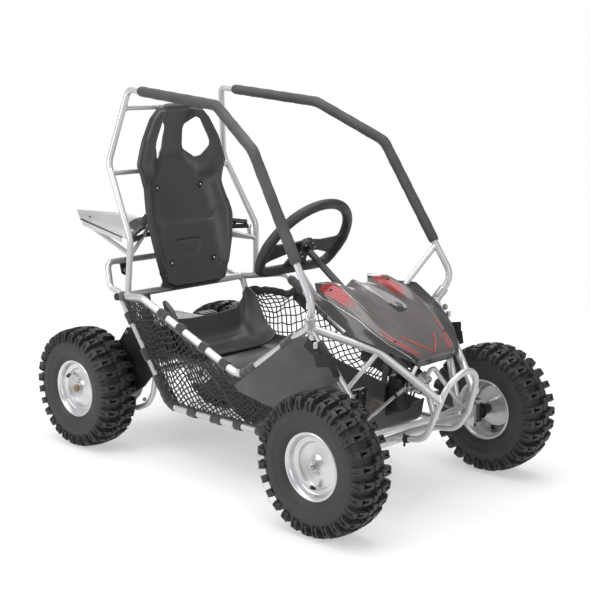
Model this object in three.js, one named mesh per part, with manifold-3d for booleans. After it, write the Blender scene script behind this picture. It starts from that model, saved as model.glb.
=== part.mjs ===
// An electric off road go kart: tubular frame and roll cage, knobbly tyres, moulded seat and hood.
// Millimetres. X runs forward, Y to the driver's left, Z up; the floor is at zero under the tyres.
import * as THREE from "three";
import { mergeVertices } from "three/addons/utils/BufferGeometryUtils.js";
import Module from "manifold-3d";

const wasm = await Module();
wasm.setup();

// Driving dimensions of the whole kart.
const wheelbase = 1010;
const frontTrack = 690;
const rearTrack = 568;
const tyreRadius = 177.5;
const tyreWidth = 120;
const railHalfWidth = 283;
const cageTop = 1045;
const frameTube = 20;
const cageTube = 18;
const loopTube = 16;
const fitGap = 0.3;
const runningGap = 0.6;
const sheetWall = 4;
const overrun = 60;
const weldTolerance = 0.001;

const sides = [
  { name: "right", sign: -1 },
  { name: "left", sign: 1 },
];

// Frame places as shares: of the wheelbase forward, of the rail half width out to the side, and of the
// height from the axles to the cage top.
const frameShares = {
  crossCorner: [0.12, 0.848, 0.322],
  crossEnd: [0.12, 0.898, 0.322],
  railBend: [0.267, 1, 0.345],
  railLow: [0.614, 0.859, 0.145],
  cageFoot: [0.87, 0.89, 0.342],
  downLow: [0.242, 0.76, 0.067],
  floorRear: [0.297, 0.749, -0.025],
  floorMiddle: [0.693, 0.749, -0.025],
  floorFront: [1, 0.53, 0],
  hoopFoot: [0.169, 0.899, 0.33],
  hoopLow: [0.18, 0.873, 0.516],
  hoopMiddle: [0.062, 0.792, 0.758],
  hoopTop: [0.105, 0.632, 1],
  roofRear: [0.485, 0.686, 0.956],
  roofFront: [0.683, 0.901, 0.834],
  cageBow: [0.907, 0.986, 0.416],
  postMiddle: [0.965, 0.728, 0.145],
  postFoot: [1, 0.686, 0],
  dashJoin: [0.854, 0.965, 0.513],
  dashBar: [0.824, 0.548, 0.376],
  tubeBend: [1.003, 0.516, 0.275],
  tubeEnd: [1.139, 0.24, 0.137],
  gussetFoot: [0.955, 0.742, 0.167],
  hoodTabFoot: [1.072, 0.378, 0.203],
  hoodTabTop: [1.074, 0.307, 0.233],
  loopFoot: [1, 0.254, 0],
  loopLow: [1.087, 0.237, 0.016],
  loopSide: [1.116, 0.265, 0.073],
  loopShoulder: [1.15, 0.219, 0.187],
  loopTop: [1.165, 0, 0.229],
  braceApex: [1.067, 0, 0.059],
  rearLoopFoot: [0.116, 0.8, 0.323],
  rearLoopLow: [0.056, 0.8, 0.341],
  rearLoopTop: [0.026, 0.75, 0.42],
  upperBar: [0.0945, 0.673, 0.939],
  middleBar: [0.0775, 0.802, 0.727],
  tailStrutFoot: [0.18, 0.873, 0.467],
  tailStrutTip: [-0.3, 0.141, 0.503],
  tailBarEnd: [0.1615, 0.82, 0.51],
  tailBarTurn: [0.087, 0.41, 0.51],
  tailBraceTop: [0.06, 0.265, 0.537],
  wheelHub: [0.631, 0, 0.505],
  columnFoot: [1.037, 0, 0.166],
  netFrontLower: [0.718, 0.763, 0.035],
};

const axleHeight = tyreRadius;
const cageSpan = cageTop - axleHeight;
const at = (x, y, z) => new THREE.Vector3(x, y, z);
const flat = (a, b) => new THREE.Vector2(a, b);
const axisX = at(1, 0, 0);
const axisY = at(0, 1, 0);
const axisZ = at(0, 0, 1);
const lerp = THREE.MathUtils.lerp;

const forward = (share) => share * wheelbase;
const level = (share) => axleHeight + share * cageSpan;
const place = ([x, y, z], sign = 1) => at(forward(x), sign * y * railHalfWidth, level(z));
const spot = (name, sign = 1) => place(frameShares[name], sign);
const spots = (names, sign) => names.map((name) => spot(name, sign));
const across = (names) => [...spots(names, 1), ...spots(names, -1).reverse()];

// A closed geometry becomes a solid: only its places count, and corners that meet are one corner.
function solidOf(geometry) {
  const bare = geometry.index ? geometry.toNonIndexed() : geometry.clone();
  for (const name of Object.keys(bare.attributes)) {
    if (name !== "position") bare.deleteAttribute(name);
  }
  const merged = mergeVertices(bare, weldTolerance);
  const corners = merged.attributes.position.array;
  const kept = [];
  for (let i = 0; i < merged.index.count; i += 3) {
    const [a, b, c] = [0, 1, 2].map((k) => merged.index.array[i + k]);
    if (a !== b && b !== c && c !== a) kept.push(a, b, c);
  }
  const corner = (k) => at(...[0, 1, 2].map((n) => corners[3 * k + n]));
  let volume = 0;
  for (let i = 0; i < kept.length; i += 3) {
    volume += corner(kept[i]).dot(corner(kept[i + 1]).cross(corner(kept[i + 2])));
  }
  if (volume < 0) kept.reverse();
  const triVerts = new Uint32Array(kept);
  return new wasm.Manifold(new wasm.Mesh({ numProp: 3, vertProperties: corners, triVerts }));
}

const join = (solids) => solids.reduce((sum, next) => sum.add(next));
const cut = (solid, tools) => tools.reduce((rest, tool) => rest.subtract(tool), solid);

// The main body of a coped piece, without the slivers that a cope leaves past its neighbour.
function mainBody(solid) {
  const bodies = solid.decompose();
  return bodies.reduce((most, next) => (next.volume() > most.volume() ? next : most));
}

// A path of straight runs with round bends, as stations for a swept section.
const straightShare = 0.476;

class BentPath extends THREE.Curve {
  constructor(corners, bendRadius) {
    super();
    const turnPerStep = Math.PI / 6;
    this.stations = [corners[0]];
    this.tangents = [corners[1].clone().sub(corners[0]).normalize()];
    for (let i = 1; i < corners.length - 1; i += 1) {
      const into = corners[i].clone().sub(corners[i - 1]);
      const out = corners[i + 1].clone().sub(corners[i]);
      const room = straightShare * Math.min(into.length(), out.length());
      into.normalize();
      out.normalize();
      const turn = into.angleTo(out);
      const reach = Math.min(bendRadius * Math.tan(turn / 2), room);
      const steps = Math.max(1, Math.round(turn / turnPerStep));
      const axis = into.clone().cross(out).normalize();
      const radius = reach / Math.tan(turn / 2);
      const start = corners[i].clone().addScaledVector(into, -reach);
      const centre = start.clone().addScaledVector(axis.clone().cross(into), radius);
      for (let k = 0; k <= steps; k += 1) {
        const arm = start.clone().sub(centre).applyAxisAngle(axis, (turn * k) / steps);
        this.stations.push(centre.clone().add(arm));
        this.tangents.push(into.clone().applyAxisAngle(axis, (turn * k) / steps));
      }
    }
    this.stations.push(corners.at(-1));
    this.tangents.push(corners.at(-1).clone().sub(corners.at(-2)).normalize());
  }

  getSpacedPoints() {
    return this.stations;
  }

  getTangentAt(share) {
    return this.tangents[Math.round(share * (this.tangents.length - 1))].clone();
  }

  // The place at a share of the path's length.
  placeAt(share) {
    const runs = this.stations.slice(1).map((next, k) => next.distanceTo(this.stations[k]));
    let left = share * runs.reduce((sum, run) => sum + run, 0);
    let k = 0;
    while (k < runs.length - 1 && left > runs[k]) {
      left -= runs[k];
      k += 1;
    }
    return this.stations[k].clone().lerp(this.stations[k + 1], left / runs[k]);
  }
}

function ring(radius, count) {
  const points = [];
  for (let i = 0; i < count; i += 1) {
    const turn = ((i + 0.5) / count) * 2 * Math.PI;
    points.push(flat(radius * Math.cos(turn), radius * Math.sin(turn)));
  }
  return points;
}

// A bent tube. Its flats lie as far inside the true circle as its corners lie outside.
function tube(corners, diameter, bendRadius = 3 * diameter, count = 8) {
  const path = new BentPath(corners, bendRadius);
  const section = new THREE.Shape(ring(diameter / 2 / Math.cos(Math.PI / (2 * count)), count));
  const options = { steps: path.stations.length - 1, extrudePath: path, bevelEnabled: false };
  return solidOf(new THREE.ExtrudeGeometry(section, options));
}

// Room for a tube: the same tube with the fit gap all round.
const roomFor = (corners, diameter, bendRadius = 3 * diameter) =>
  tube(corners, diameter + 2 * fitGap, bendRadius);

function plane(a, b, origin) {
  const depth = a.clone().cross(b).normalize();
  return new THREE.Matrix4().makeBasis(a, b, depth).setPosition(origin);
}

// A plate from an outline drawn in a plane, with half its thickness on each side of the plane.
function plate(points, thickness, matrix, holes = []) {
  const shape = new THREE.Shape(points);
  for (const hole of holes) shape.holes.push(new THREE.Path(hole));
  const geometry = new THREE.ExtrudeGeometry(shape, { depth: thickness, bevelEnabled: false });
  return solidOf(geometry.translate(0, 0, -thickness / 2).applyMatrix4(matrix));
}

const block = (size, centre) =>
  solidOf(new THREE.BoxGeometry(...size).translate(...centre.toArray()));

function drum(radius, length, axis, centre, count = 12) {
  const geometry = new THREE.CylinderGeometry(radius, radius, length, count);
  const turn = new THREE.Quaternion().setFromUnitVectors(axisY, axis);
  return solidOf(geometry.applyQuaternion(turn).translate(...centre.toArray()));
}

// A hole whose flats, not its corners, keep the gap to a round pin.
const boreCount = 10;
const boreFor = (radius, length, axis, centre, gap = fitGap) =>
  drum((radius + gap) / Math.cos(Math.PI / boreCount), length, axis, centre, boreCount);

// A turned part about the Y axis, from a closed outline of [radius, along], with a flat facing down.
function turned(outline, count, centre) {
  const points = [...outline, outline[0]].map(([radius, along]) => flat(radius, along));
  const geometry = new THREE.LatheGeometry(points, count, Math.PI / count);
  return solidOf(geometry.translate(...centre.toArray()));
}

// A sheet of faces closed into a solid: the faces, the same faces on its back, and walls at its edges.
function closedSheet(front, back, faces) {
  const under = front.length;
  const order = [];
  const runs = new Set();
  for (const [a, b, c] of faces) {
    order.push(a, b, c, under + a, under + c, under + b);
    for (const run of [[a, b], [b, c], [c, a]]) runs.add(run.join());
  }
  for (const run of runs) {
    const [a, b] = run.split(",").map(Number);
    if (!runs.has([b, a].join())) order.push(b, a, under + a, b, under + a, under + b);
  }
  const geometry = new THREE.BufferGeometry().setFromPoints([...front, ...back]);
  geometry.setIndex(order);
  return solidOf(geometry);
}

// A moulded sheet: a grid of points on its face, with the wall behind the face.
function shell(rows, wall) {
  const columns = rows[0].length;
  const index = (i, j) => i * columns + j;
  const faces = [];
  for (let i = 0; i < rows.length - 1; i += 1) {
    for (let j = 0; j < columns - 1; j += 1) {
      faces.push([index(i, j), index(i + 1, j), index(i + 1, j + 1)]);
      faces.push([index(i, j), index(i + 1, j + 1), index(i, j + 1)]);
    }
  }
  const front = rows.flat();
  const normals = front.map(() => at(0, 0, 0));
  for (const [a, b, c] of faces) {
    const normal = front[b].clone().sub(front[a]).cross(front[c].clone().sub(front[a]));
    for (const k of [a, b, c]) normals[k].add(normal);
  }
  const back = front.map((point, k) => point.clone().addScaledVector(normals[k].normalize(), -wall));
  return closedSheet(front, back, faces);
}

// Rows of a sheet that is alike on both sides: each row lists its right hand side from the middle out.
const mirroredRow = (half) => [...half.slice(1).map((p) => at(p.x, -p.y, p.z)).reverse(), ...half];

// A value read from table rows of [key, value, ...], with straight runs between the rows.
function between(table, key, column) {
  const last = table.length - 1;
  const found = table.findIndex((row) => row[0] >= key);
  const i = found < 0 ? last : Math.max(found, 1);
  const [a, b] = [table[i - 1], table[i]];
  return lerp(a[column], b[column], (key - a[0]) / (b[0] - a[0]));
}

const look = (color, metalness, roughness) => ({ color, metalness, roughness });
const silverPaint = look(0xc9cacb, 0.5, 0.38);
const blackSteel = look(0x262626, 0.4, 0.5);
const zincSteel = look(0xa9a79e, 0.8, 0.35);
const tyreRubber = look(0x2b2a2b, 0, 0.85);
const seatPlastic = look(0x454344, 0, 0.5);
const hoodPlastic = look(0x6f6968, 0.1, 0.25);
const darkVinyl = look(0x4a494a, 0, 0.45);
const padFoam = look(0x4a4849, 0, 0.9);

const kart = new THREE.Group();

function add(name, solid, finish) {
  const made = solid.getMesh();
  const geometry = new THREE.BufferGeometry();
  geometry.setAttribute("position", new THREE.BufferAttribute(made.vertProperties, 3));
  geometry.setIndex(new THREE.BufferAttribute(made.triVerts, 1));
  geometry.computeVertexNormals();
  const mesh = new THREE.Mesh(geometry, new THREE.MeshStandardMaterial(finish));
  mesh.name = name;
  kart.add(mesh);
}

// Runs of the frame, by the names of their places.
const railRun = ["crossCorner", "railBend", "railLow", "cageFoot"];
const floorRun = ["crossCorner", "downLow", "floorRear", "floorMiddle", "floorFront"];
const postRun = ["cageFoot", "postMiddle", "postFoot"];
const frontTubeRun = ["cageFoot", "tubeBend", "tubeEnd"];
const loopRun = ["loopFoot", "loopLow", "loopSide", "loopShoulder"];
const bumperRun = [...spots(loopRun, 1), spot("loopTop"), ...spots(loopRun, -1).reverse()];
const bumperBend = 4 * loopTube;
const gussetTube = 12;
const hoodTabTube = 10;

// The hoop turns into the roof tube at its top, where a butt joint parts the two.
const hoopReach = 40;
const cageSocket = { radius: 13.5, depth: 42, floor: 8 };

function cageRuns(sign) {
  const [top, roofRear] = spots(["hoopTop", "roofRear"], sign);
  const ahead = roofRear.clone().sub(top).normalize();
  const joint = top.clone().addScaledVector(ahead, hoopReach);
  const hoop = [...spots(["hoopFoot", "hoopLow", "hoopMiddle", "hoopTop"], sign), joint];
  const [bow, foot] = spots(["cageBow", "cageFoot"], sign);
  const rise = bow.clone().sub(foot).normalize();
  const end = foot.clone().addScaledVector(rise, cageSocket.floor + fitGap);
  const start = joint.clone().addScaledVector(ahead, fitGap);
  const roof = [start, roofRear, spot("roofFront", sign), bow, end];
  return { hoop, roof, rise, foot };
}

const crossRoom = roomFor(across(["crossEnd"]), frameTube);
const hoopRooms = [1, -1].map((sign) => roomFor(cageRuns(sign).hoop, cageTube));
const roofRooms = [1, -1].map((sign) => roomFor(cageRuns(sign).roof, cageTube));
const floorRooms = [1, -1].map((sign) => roomFor(spots(floorRun, sign), frameTube));
const railRooms = [1, -1].map((sign) => roomFor(spots(railRun, sign), frameTube));

// The post carries the cage in a socket at its top.
function postSolid(sign, gap = 0) {
  const { rise, foot } = cageRuns(sign);
  const post = tube(spots(postRun, sign), frameTube + 2 * gap, 3 * frameTube);
  const middle = foot.clone().addScaledVector(rise, cageSocket.depth / 2);
  return post.add(drum(cageSocket.radius + gap, cageSocket.depth + 2 * gap, rise, middle, 10));
}

// The front axle: a beam with a yoke at each end, whose kingpin the knuckle turns on.
const beamSize = 25;
const kingpin = { inset: 70, radius: 7, sleeve: 13, height: 70, ear: 9, depth: 26, margin: 5 };
const kingpinY = frontTrack / 2 - kingpin.inset;
const webY = kingpinY - kingpin.sleeve - kingpin.margin - kingpin.ear / 2;
const earLevel = (kingpin.height - kingpin.ear) / 2;
const beamRun = [at(wheelbase, -webY, axleHeight), at(wheelbase, webY, axleHeight)];
const beamRoom = roomFor(beamRun, beamSize);
const braceRun = [
  at(wheelbase, webY, axleHeight + earLevel),
  spot("braceApex"),
  at(wheelbase, -webY, axleHeight + earLevel),
];

function frontAxle() {
  const parts = [tube(beamRun, beamSize), tube(braceRun, loopTube, loopTube)];
  const reach = kingpinY - webY + kingpin.sleeve;
  for (const { sign } of sides) {
    const web = at(wheelbase, sign * webY, axleHeight);
    parts.push(block([kingpin.depth, kingpin.ear, kingpin.height], web));
    for (const rise of [-earLevel, earLevel]) {
      const centre = at(wheelbase, sign * (webY + reach / 2), axleHeight + rise);
      parts.push(block([kingpin.depth, reach, kingpin.ear], centre));
    }
    const pinCentre = at(wheelbase, sign * kingpinY, axleHeight);
    parts.push(drum(kingpin.radius, kingpin.height, axisZ, pinCentre));
  }
  add("front_axle", join(parts), silverPaint);
}

// One side of the frame and cage. Each tube's end is coped to the tube that it is welded to.
function frameSide({ name, sign }) {
  const { hoop, roof, rise, foot } = cageRuns(sign);
  const postRoom = postSolid(sign, fitGap);
  const railRoom = roomFor(spots(railRun, sign), frameTube);
  const rail = tube(spots(railRun, sign), frameTube);
  const floorRail = tube(spots(floorRun, sign), frameTube);
  add(`side_rail_${name}`, mainBody(cut(rail, [crossRoom, postRoom])), silverPaint);
  add(`floor_rail_${name}`, mainBody(cut(floorRail, [crossRoom, railRoom, beamRoom])), silverPaint);

  const boreMiddle = foot.clone().addScaledVector(rise, cageSocket.floor + overrun / 2);
  const socketBore = boreFor(cageTube / 2, overrun, rise, boreMiddle, runningGap);
  add(`front_post_${name}`, mainBody(cut(postSolid(sign), [socketBore, beamRoom])), silverPaint);

  const gusset = tube(spots(["tubeBend", "gussetFoot"], sign), gussetTube, gussetTube, 6);
  const tab = tube(spots(["hoodTabFoot", "hoodTabTop"], sign), hoodTabTube, hoodTabTube, 6);
  const frontTube = join([tube(spots(frontTubeRun, sign), frameTube), gusset, tab]);
  const bumperRoom = roomFor(bumperRun, loopTube, bumperBend);
  const tubeRooms = [postRoom, bumperRoom, railRoom];
  add(`front_tube_${name}`, mainBody(cut(frontTube, tubeRooms)), silverPaint);

  add(`rear_hoop_${name}`, mainBody(cut(tube(hoop, cageTube), [railRoom])), silverPaint);
  add(`roof_tube_${name}`, tube(roof, cageTube), silverPaint);
}

function bumperLoop() {
  const bumper = tube(bumperRun, loopTube, bumperBend);
  add("bumper_loop", mainBody(cut(bumper, [beamRoom])), silverPaint);
}

// The cross tube at the rear corner and the loop behind it are one weldment.
function rearFrame() {
  const cross = tube(across(["crossEnd"]), frameTube);
  const loop = tube(across(["rearLoopFoot", "rearLoopLow", "rearLoopTop"]), cageTube);
  add("rear_loop", cross.add(loop), silverPaint);
  const upper = tube(across(["upperBar"]), loopTube);
  add("upper_cross_bar", mainBody(cut(upper, hoopRooms)), silverPaint);
}

// Foam pads round the roof tubes.
const padDiameter = 29;
const padEndShare = 0.74;

function roofPad({ name, sign }) {
  const { roof } = cageRuns(sign);
  const [start, rear, front, bow] = roof;
  const padStart = start.clone().lerp(rear, padDiameter / rear.distanceTo(start) / 2);
  const padEnd = front.clone().lerp(bow, padEndShare);
  const bend = 3 * cageTube;
  const pad = tube([padStart, rear, front, padEnd], padDiameter, bend);
  add(`roof_pad_${name}`, pad.subtract(roomFor(roof, cageTube, bend)), padFoam);
}

// The seat back: a moulded panel with wings, and two openings for a harness.
const seatBackHalfWidth = 168;
const seatWingDepth = 52;
// Rows from the bottom: height, panel forward place, half width share, wing share of its full depth.
const seatBackShares = [
  [0.328, 0.188, 0.67, 0],
  [0.413, 0.162, 0.8, 0.5],
  [0.487, 0.145, 0.89, 0.8],
  [0.571, 0.124, 0.96, 1],
  [0.674, 0.101, 0.86, 0.84],
  [0.718, 0.094, 0.92, 0.95],
  [0.752, 0.088, 1, 1],
  [0.833, 0.096, 0.86, 0.8],
  [0.9, 0.112, 0.66, 0.4],
  [0.942, 0.126, 0.44, 0.1],
];
const seatAcrossShares = [
  [1, 1],
  [0.72, 0.12],
  [0.36, 0],
  [0, 0],
  [-0.36, 0],
  [-0.72, 0.12],
  [-1, 1],
];
const harnessMiddleShare = 0.1;
const harnessShares = [
  [0.145, 0.792],
  [0.24, 0.764],
  [0.33, 0.84],
  [0.23, 0.905],
  [0.13, 0.872],
];

const seatPanelX = (z) => forward(between(seatBackShares, (z - axleHeight) / cageSpan, 1));

const seatBackRows = (back = 0) =>
  seatBackShares.map(([up, ahead, width, wing]) =>
    seatAcrossShares.map(([out, lift]) => {
      const x = forward(ahead) + wing * lift * seatWingDepth - back;
      return at(x, out * width * seatBackHalfWidth, level(up));
    }),
  );

function seatBack() {
  const openings = sides.map(({ sign }) => {
    const outline = harnessShares.map(([out, up]) => flat(sign * out * railHalfWidth, level(up)));
    return plate(outline, wheelbase / 2, plane(axisY, axisZ, at(forward(harnessMiddleShare), 0, 0)));
  });
  add("seat_back", cut(shell(seatBackRows(), sheetWall), openings), seatPlastic);
}

// The seat carrier: a cross bar between the hoops, and two flat straps that run from the bar down
// behind the seat to the rear cross tube.
const strap = { out: 83, width: 26, thickness: 5 };
const strapShares = [0.94, 0.8, 0.55, 0.35, 0.2];

function seatCarrier() {
  const bar = tube(across(["middleBar"]), loopTube);
  const middle = spot("middleBar");
  const cross = spot("crossCorner");
  const behind = sheetWall / 2;
  const face = strapShares.map((share) => {
    const z = lerp(cross.z, middle.z, share);
    return flat(seatPanelX(z) - behind, z);
  });
  face.unshift(flat(middle.x + loopTube / 2, middle.z));
  face.push(flat(cross.x + strap.thickness / 2, cross.z));
  const deep = behind + fitGap + strap.thickness;
  const back = face.map((point) => flat(point.x - deep, point.y)).reverse();
  const straps = sides.map(({ sign }) =>
    plate([...face, ...back], strap.width, plane(axisX, axisZ, at(0, sign * strap.out, 0))),
  );
  const seatRoom = shell(seatBackRows(fitGap), sheetWall);
  const carrier = cut(join([bar, ...straps]), [...hoopRooms, crossRoom, seatRoom]);
  add("seat_carrier", mainBody(carrier), silverPaint);
}

// The floor tub: a seat platform, a slope down to the foot well, and the pedal brackets in it.
// Rows from the rear: forward place, floor height, half width, wall top height, wall top half width.
const platformShare = 0.124;
const tubShares = [
  [0.2, platformShare, 0.64, 0.145, 0.66],
  [0.4, platformShare, 0.64, 0.15, 0.68],
  [0.57, -0.0108, 0.727, 0.09, 0.742],
  [0.69, -0.0108, 0.727, 0.06, 0.742],
  [0.84, -0.0108, 0.56, 0.05, 0.58],
  [0.915, -0.0108, 0.48, 0.05, 0.5],
  [0.925, 0.055, 0.47, 0.06, 0.48],
];
const pedal = {
  forwardShare: 0.886,
  lift: 19,
  hub: 9,
  pin: 4,
  width: 30,
  ear: 4,
  earDepth: 16,
  arm: 105,
  armWidth: 14,
  pad: 62,
  padWidth: 58,
  padThickness: 8,
  lean: 6,
};
const pedals = [
  { name: "brake_pedal", out: 48 },
  { name: "throttle_pedal", out: -92 },
];
const tubFloor = level(tubShares[2][1]);
const pedalPivot = (out) => at(forward(pedal.forwardShare), out, tubFloor + pedal.lift);

function floorTub() {
  const rows = tubShares.map(([x, floor, width, top, topWidth]) => {
    const half = [
      at(forward(x), 0, level(floor)),
      at(forward(x), (width * railHalfWidth) / 2, level(floor)),
      at(forward(x), width * railHalfWidth, level(floor)),
      at(forward(x), topWidth * railHalfWidth, level(top)),
    ];
    return mirroredRow(half);
  });
  const parts = [shell(rows, sheetWall)];
  for (const { out } of pedals) {
    const pivot = pedalPivot(out);
    const reach = pedal.width / 2 + runningGap + pedal.ear / 2;
    for (const way of [-1, 1]) {
      const height = pedal.lift + pedal.hub / 2 + sheetWall / 2;
      const centre = at(pivot.x, out + way * reach, pivot.z + pedal.hub / 2 - height / 2);
      parts.push(block([pedal.earDepth, pedal.ear, height], centre));
    }
    parts.push(drum(pedal.pin, 2 * reach, axisY, pivot, 10));
  }
  add("floor_tub", mainBody(cut(join(parts), floorRooms)), seatPlastic);
}

// A pedal leans back from its pivot, and tips forward when it is pressed.
function pedalSolid({ name, out }) {
  const pivot = pedalPivot(out);
  const lean = THREE.MathUtils.degToRad(pedal.lean);
  const up = at(Math.sin(lean), 0, Math.cos(lean));
  const side = plane(axisY, up, pivot);
  const half = pedal.armWidth / 2;
  const armPoints = [flat(-half, 0), flat(half, 0), flat(half, pedal.arm), flat(-half, pedal.arm)];
  const arm = plate(armPoints, pedal.padThickness, side);
  const padHalf = pedal.padWidth / 2;
  const padFoot = pedal.arm - pedal.pad;
  const padPoints = [
    flat(-padHalf, padFoot),
    flat(padHalf, padFoot),
    flat(padHalf, pedal.arm),
    flat(-padHalf, pedal.arm),
  ];
  const padFace = pivot.clone().addScaledVector(axisX, -pedal.padThickness / 2);
  const pad = plate(padPoints, pedal.padThickness, plane(axisY, up, padFace));
  const hub = drum(pedal.hub, pedal.width, axisY, pivot);
  add(name, join([arm, pad, hub]).subtract(boreFor(pedal.pin, overrun, axisY, pivot)), blackSteel);
}

// The seat base: a pan with hip wings, on the tub's platform.
const seatBaseHalfWidth = 160;
// Rows from the rear: forward place, pan height and wing height above the platform.
const seatBaseShares = [
  [0.22, 0.104, 0.181],
  [0.234, 0.035, 0.176],
  [0.259, 0.006, 0.156],
  [0.307, 0, 0.065],
  [0.35, 0.005, 0.035],
];
const baseAcrossShares = [
  [0, 0],
  [0.42, 0],
  [0.8, 0.1],
  [0.92, 0.55],
  [1, 1],
];

function seatBase() {
  const pan = level(platformShare) + sheetWall + fitGap;
  const rows = seatBaseShares.map(([x, middle, wing]) =>
    mirroredRow(
      baseAcrossShares.map(([out, lift]) =>
        at(forward(x), out * seatBaseHalfWidth, pan + lerp(middle, wing, lift) * cageSpan),
      ),
    ),
  );
  add("seat_base", shell(rows, sheetWall), seatPlastic);
}

// The steering column's line, and places along it, above it and beside it.
const columnStart = spot("wheelHub");
const columnEnd = spot("columnFoot");
const columnLength = columnEnd.distanceTo(columnStart);
const columnAxis = columnEnd.clone().sub(columnStart).normalize();
const columnUp = columnAxis.clone().cross(axisY);
const onColumn = (along, up = 0, out = 0) =>
  columnStart
    .clone()
    .addScaledVector(columnAxis, along)
    .addScaledVector(columnUp, up)
    .addScaledVector(axisY, out);
const column = { radius: 9.5, bush: 15, bushLength: 24, sleeve: 16, sleeveLength: 26 };

// The dash hoop crosses between the roof tubes under the hood, and holds the column's upper bush.
const dashBend = 2 * loopTube;
const dashRun = across(["dashJoin", "dashBar"]);

function dashHoop() {
  const bar = spot("dashBar");
  const centre = onColumn((bar.x - columnStart.x) / columnAxis.x);
  const bush = drum(column.bush, column.bushLength, columnAxis, centre, 12);
  const neck = tube([centre, at(bar.x, 0, bar.z)], loopTube);
  const bore = boreFor(column.radius, overrun, columnAxis, centre);
  const hoop = join([tube(dashRun, loopTube, dashBend), bush, neck]);
  add("dash_hoop", mainBody(cut(hoop, [bore, ...roofRooms])), silverPaint);
}

// The hood: two raised lobes with a channel on each side of the middle, and flared sides.
const hoodWall = 3;
// Rows from the rear, each from the middle out: middle, channel, lobe flank, lobe, crease and edge.
const hoodShares = [
  [
    [0.792, 0, 0.437],
    [0.804, 0.159, 0.419],
    [0.777, 0.265, 0.436],
    [0.7505, 0.367, 0.432],
    [0.792, 0.495, 0.413],
    [0.844, 0.71, 0.403],
  ],
  [
    [0.837, 0, 0.4305],
    [0.834, 0.159, 0.4155],
    [0.82, 0.265, 0.434],
    [0.814, 0.367, 0.442],
    [0.8475, 0.523, 0.395],
    [0.867, 0.714, 0.3855],
  ],
  [
    [0.886, 0, 0.403],
    [0.884, 0.159, 0.396],
    [0.884, 0.283, 0.396],
    [0.886, 0.396, 0.411],
    [0.896, 0.537, 0.367],
    [0.921, 0.7, 0.349],
  ],
  [
    [0.9515, 0, 0.364],
    [0.9485, 0.159, 0.361],
    [0.9455, 0.29, 0.359],
    [0.9425, 0.396, 0.3625],
    [0.9425, 0.523, 0.342],
    [0.965, 0.65, 0.314],
  ],
  [
    [1.016, 0, 0.314],
    [1.012, 0.141, 0.3165],
    [1.005, 0.254, 0.315],
    [0.998, 0.346, 0.312],
    [0.985, 0.459, 0.3095],
    [1.012, 0.54, 0.29],
  ],
  [
    [1.079, 0, 0.26],
    [1.078, 0.1, 0.259],
    [1.077, 0.17, 0.2565],
    [1.076, 0.226, 0.254],
    [1.074, 0.2685, 0.252],
    [1.075, 0.311, 0.244],
  ],
  [
    [1.072, 0, 0.229],
    [1.071, 0.1, 0.228],
    [1.069, 0.17, 0.2265],
    [1.067, 0.219, 0.2265],
    [1.065, 0.254, 0.2275],
    [1.065, 0.283, 0.23],
  ],
];

function hoodSolid() {
  const rows = hoodShares.map((row) => mirroredRow(row.map((share) => place(share))));
  const rooms = [roomFor(dashRun, loopTube, dashBend), ...roofRooms];
  for (const { sign } of sides) {
    rooms.push(roomFor(spots(frontTubeRun, sign), frameTube));
    rooms.push(roomFor(spots(["hoodTabFoot", "hoodTabTop"], sign), hoodTabTube));
  }
  add("hood", mainBody(cut(shell(rows, hoodWall), rooms)), hoodPlastic);
}

// The tail panel: a tapered sheet with a crown along its middle.
const tailTube = 14;
const tailEdgeShare = 0.522;
const tailTaperShare = 0.14;
const tailFlattenShare = 0.55;
// Columns from the middle out: out to the side, front place, rear place and crown above the edge.
const tailShares = [
  [0, 0.1, -0.4, 0.038],
  [0.3, 0.1, -0.385, 0.032],
  [0.55, 0.105, -0.362, 0.006],
  [0.85, 0.15, -0.345, 0],
];
const tailRowShares = [1, 0.72, 0.4, 0.15, 0];

function panelShell() {
  const rows = tailRowShares.map((share) => {
    const half = tailShares.map(([out, front, rear, crown]) => {
      const y = out * railHalfWidth * lerp(tailTaperShare, 1, share);
      const lift = crown * lerp(tailFlattenShare, 1, share);
      return at(forward(lerp(rear, front, share)), y, level(tailEdgeShare + lift));
    });
    return mirroredRow(half).reverse();
  });
  return cut(shell(rows, sheetWall), hoopRooms);
}

// The frame under the panel: a bar, a brace and a strut loop. The studs on it end at the panel.
function tailFrame() {
  const thin = (corners, diameter) => tube(corners, diameter, 2 * diameter, 6);
  const stud = (base) => drum(gussetTube / 2, 2 * overrun, axisZ, base, 8);
  const parts = [
    thin(across(["tailBarEnd", "tailBarTurn"]), tailTube),
    thin(across(["tailStrutFoot", "tailStrutTip"]), tailTube),
    thin(across(["tailStrutFoot", "tailBraceTop"]), gussetTube),
  ];
  for (const { sign } of sides) {
    const [foot, tip, end] = spots(["tailStrutFoot", "tailStrutTip", "tailBarEnd"], sign);
    const below = foot.clone().lerp(tip, (foot.x - end.x) / (foot.x - tip.x));
    parts.push(thin([below, end], gussetTube));
    for (const base of [spot("tailBraceTop", sign), tip]) {
      parts.push(stud(base.clone().addScaledVector(axisZ, overrun)));
    }
  }
  const panelRoom = panelShell().translate(0, 0, -fitGap);
  add("tail_frame", mainBody(cut(join(parts), [...hoopRooms, panelRoom])), silverPaint);
}

function tailPanel() {
  add("tail_panel", mainBody(panelShell()), silverPaint);
}

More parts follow.
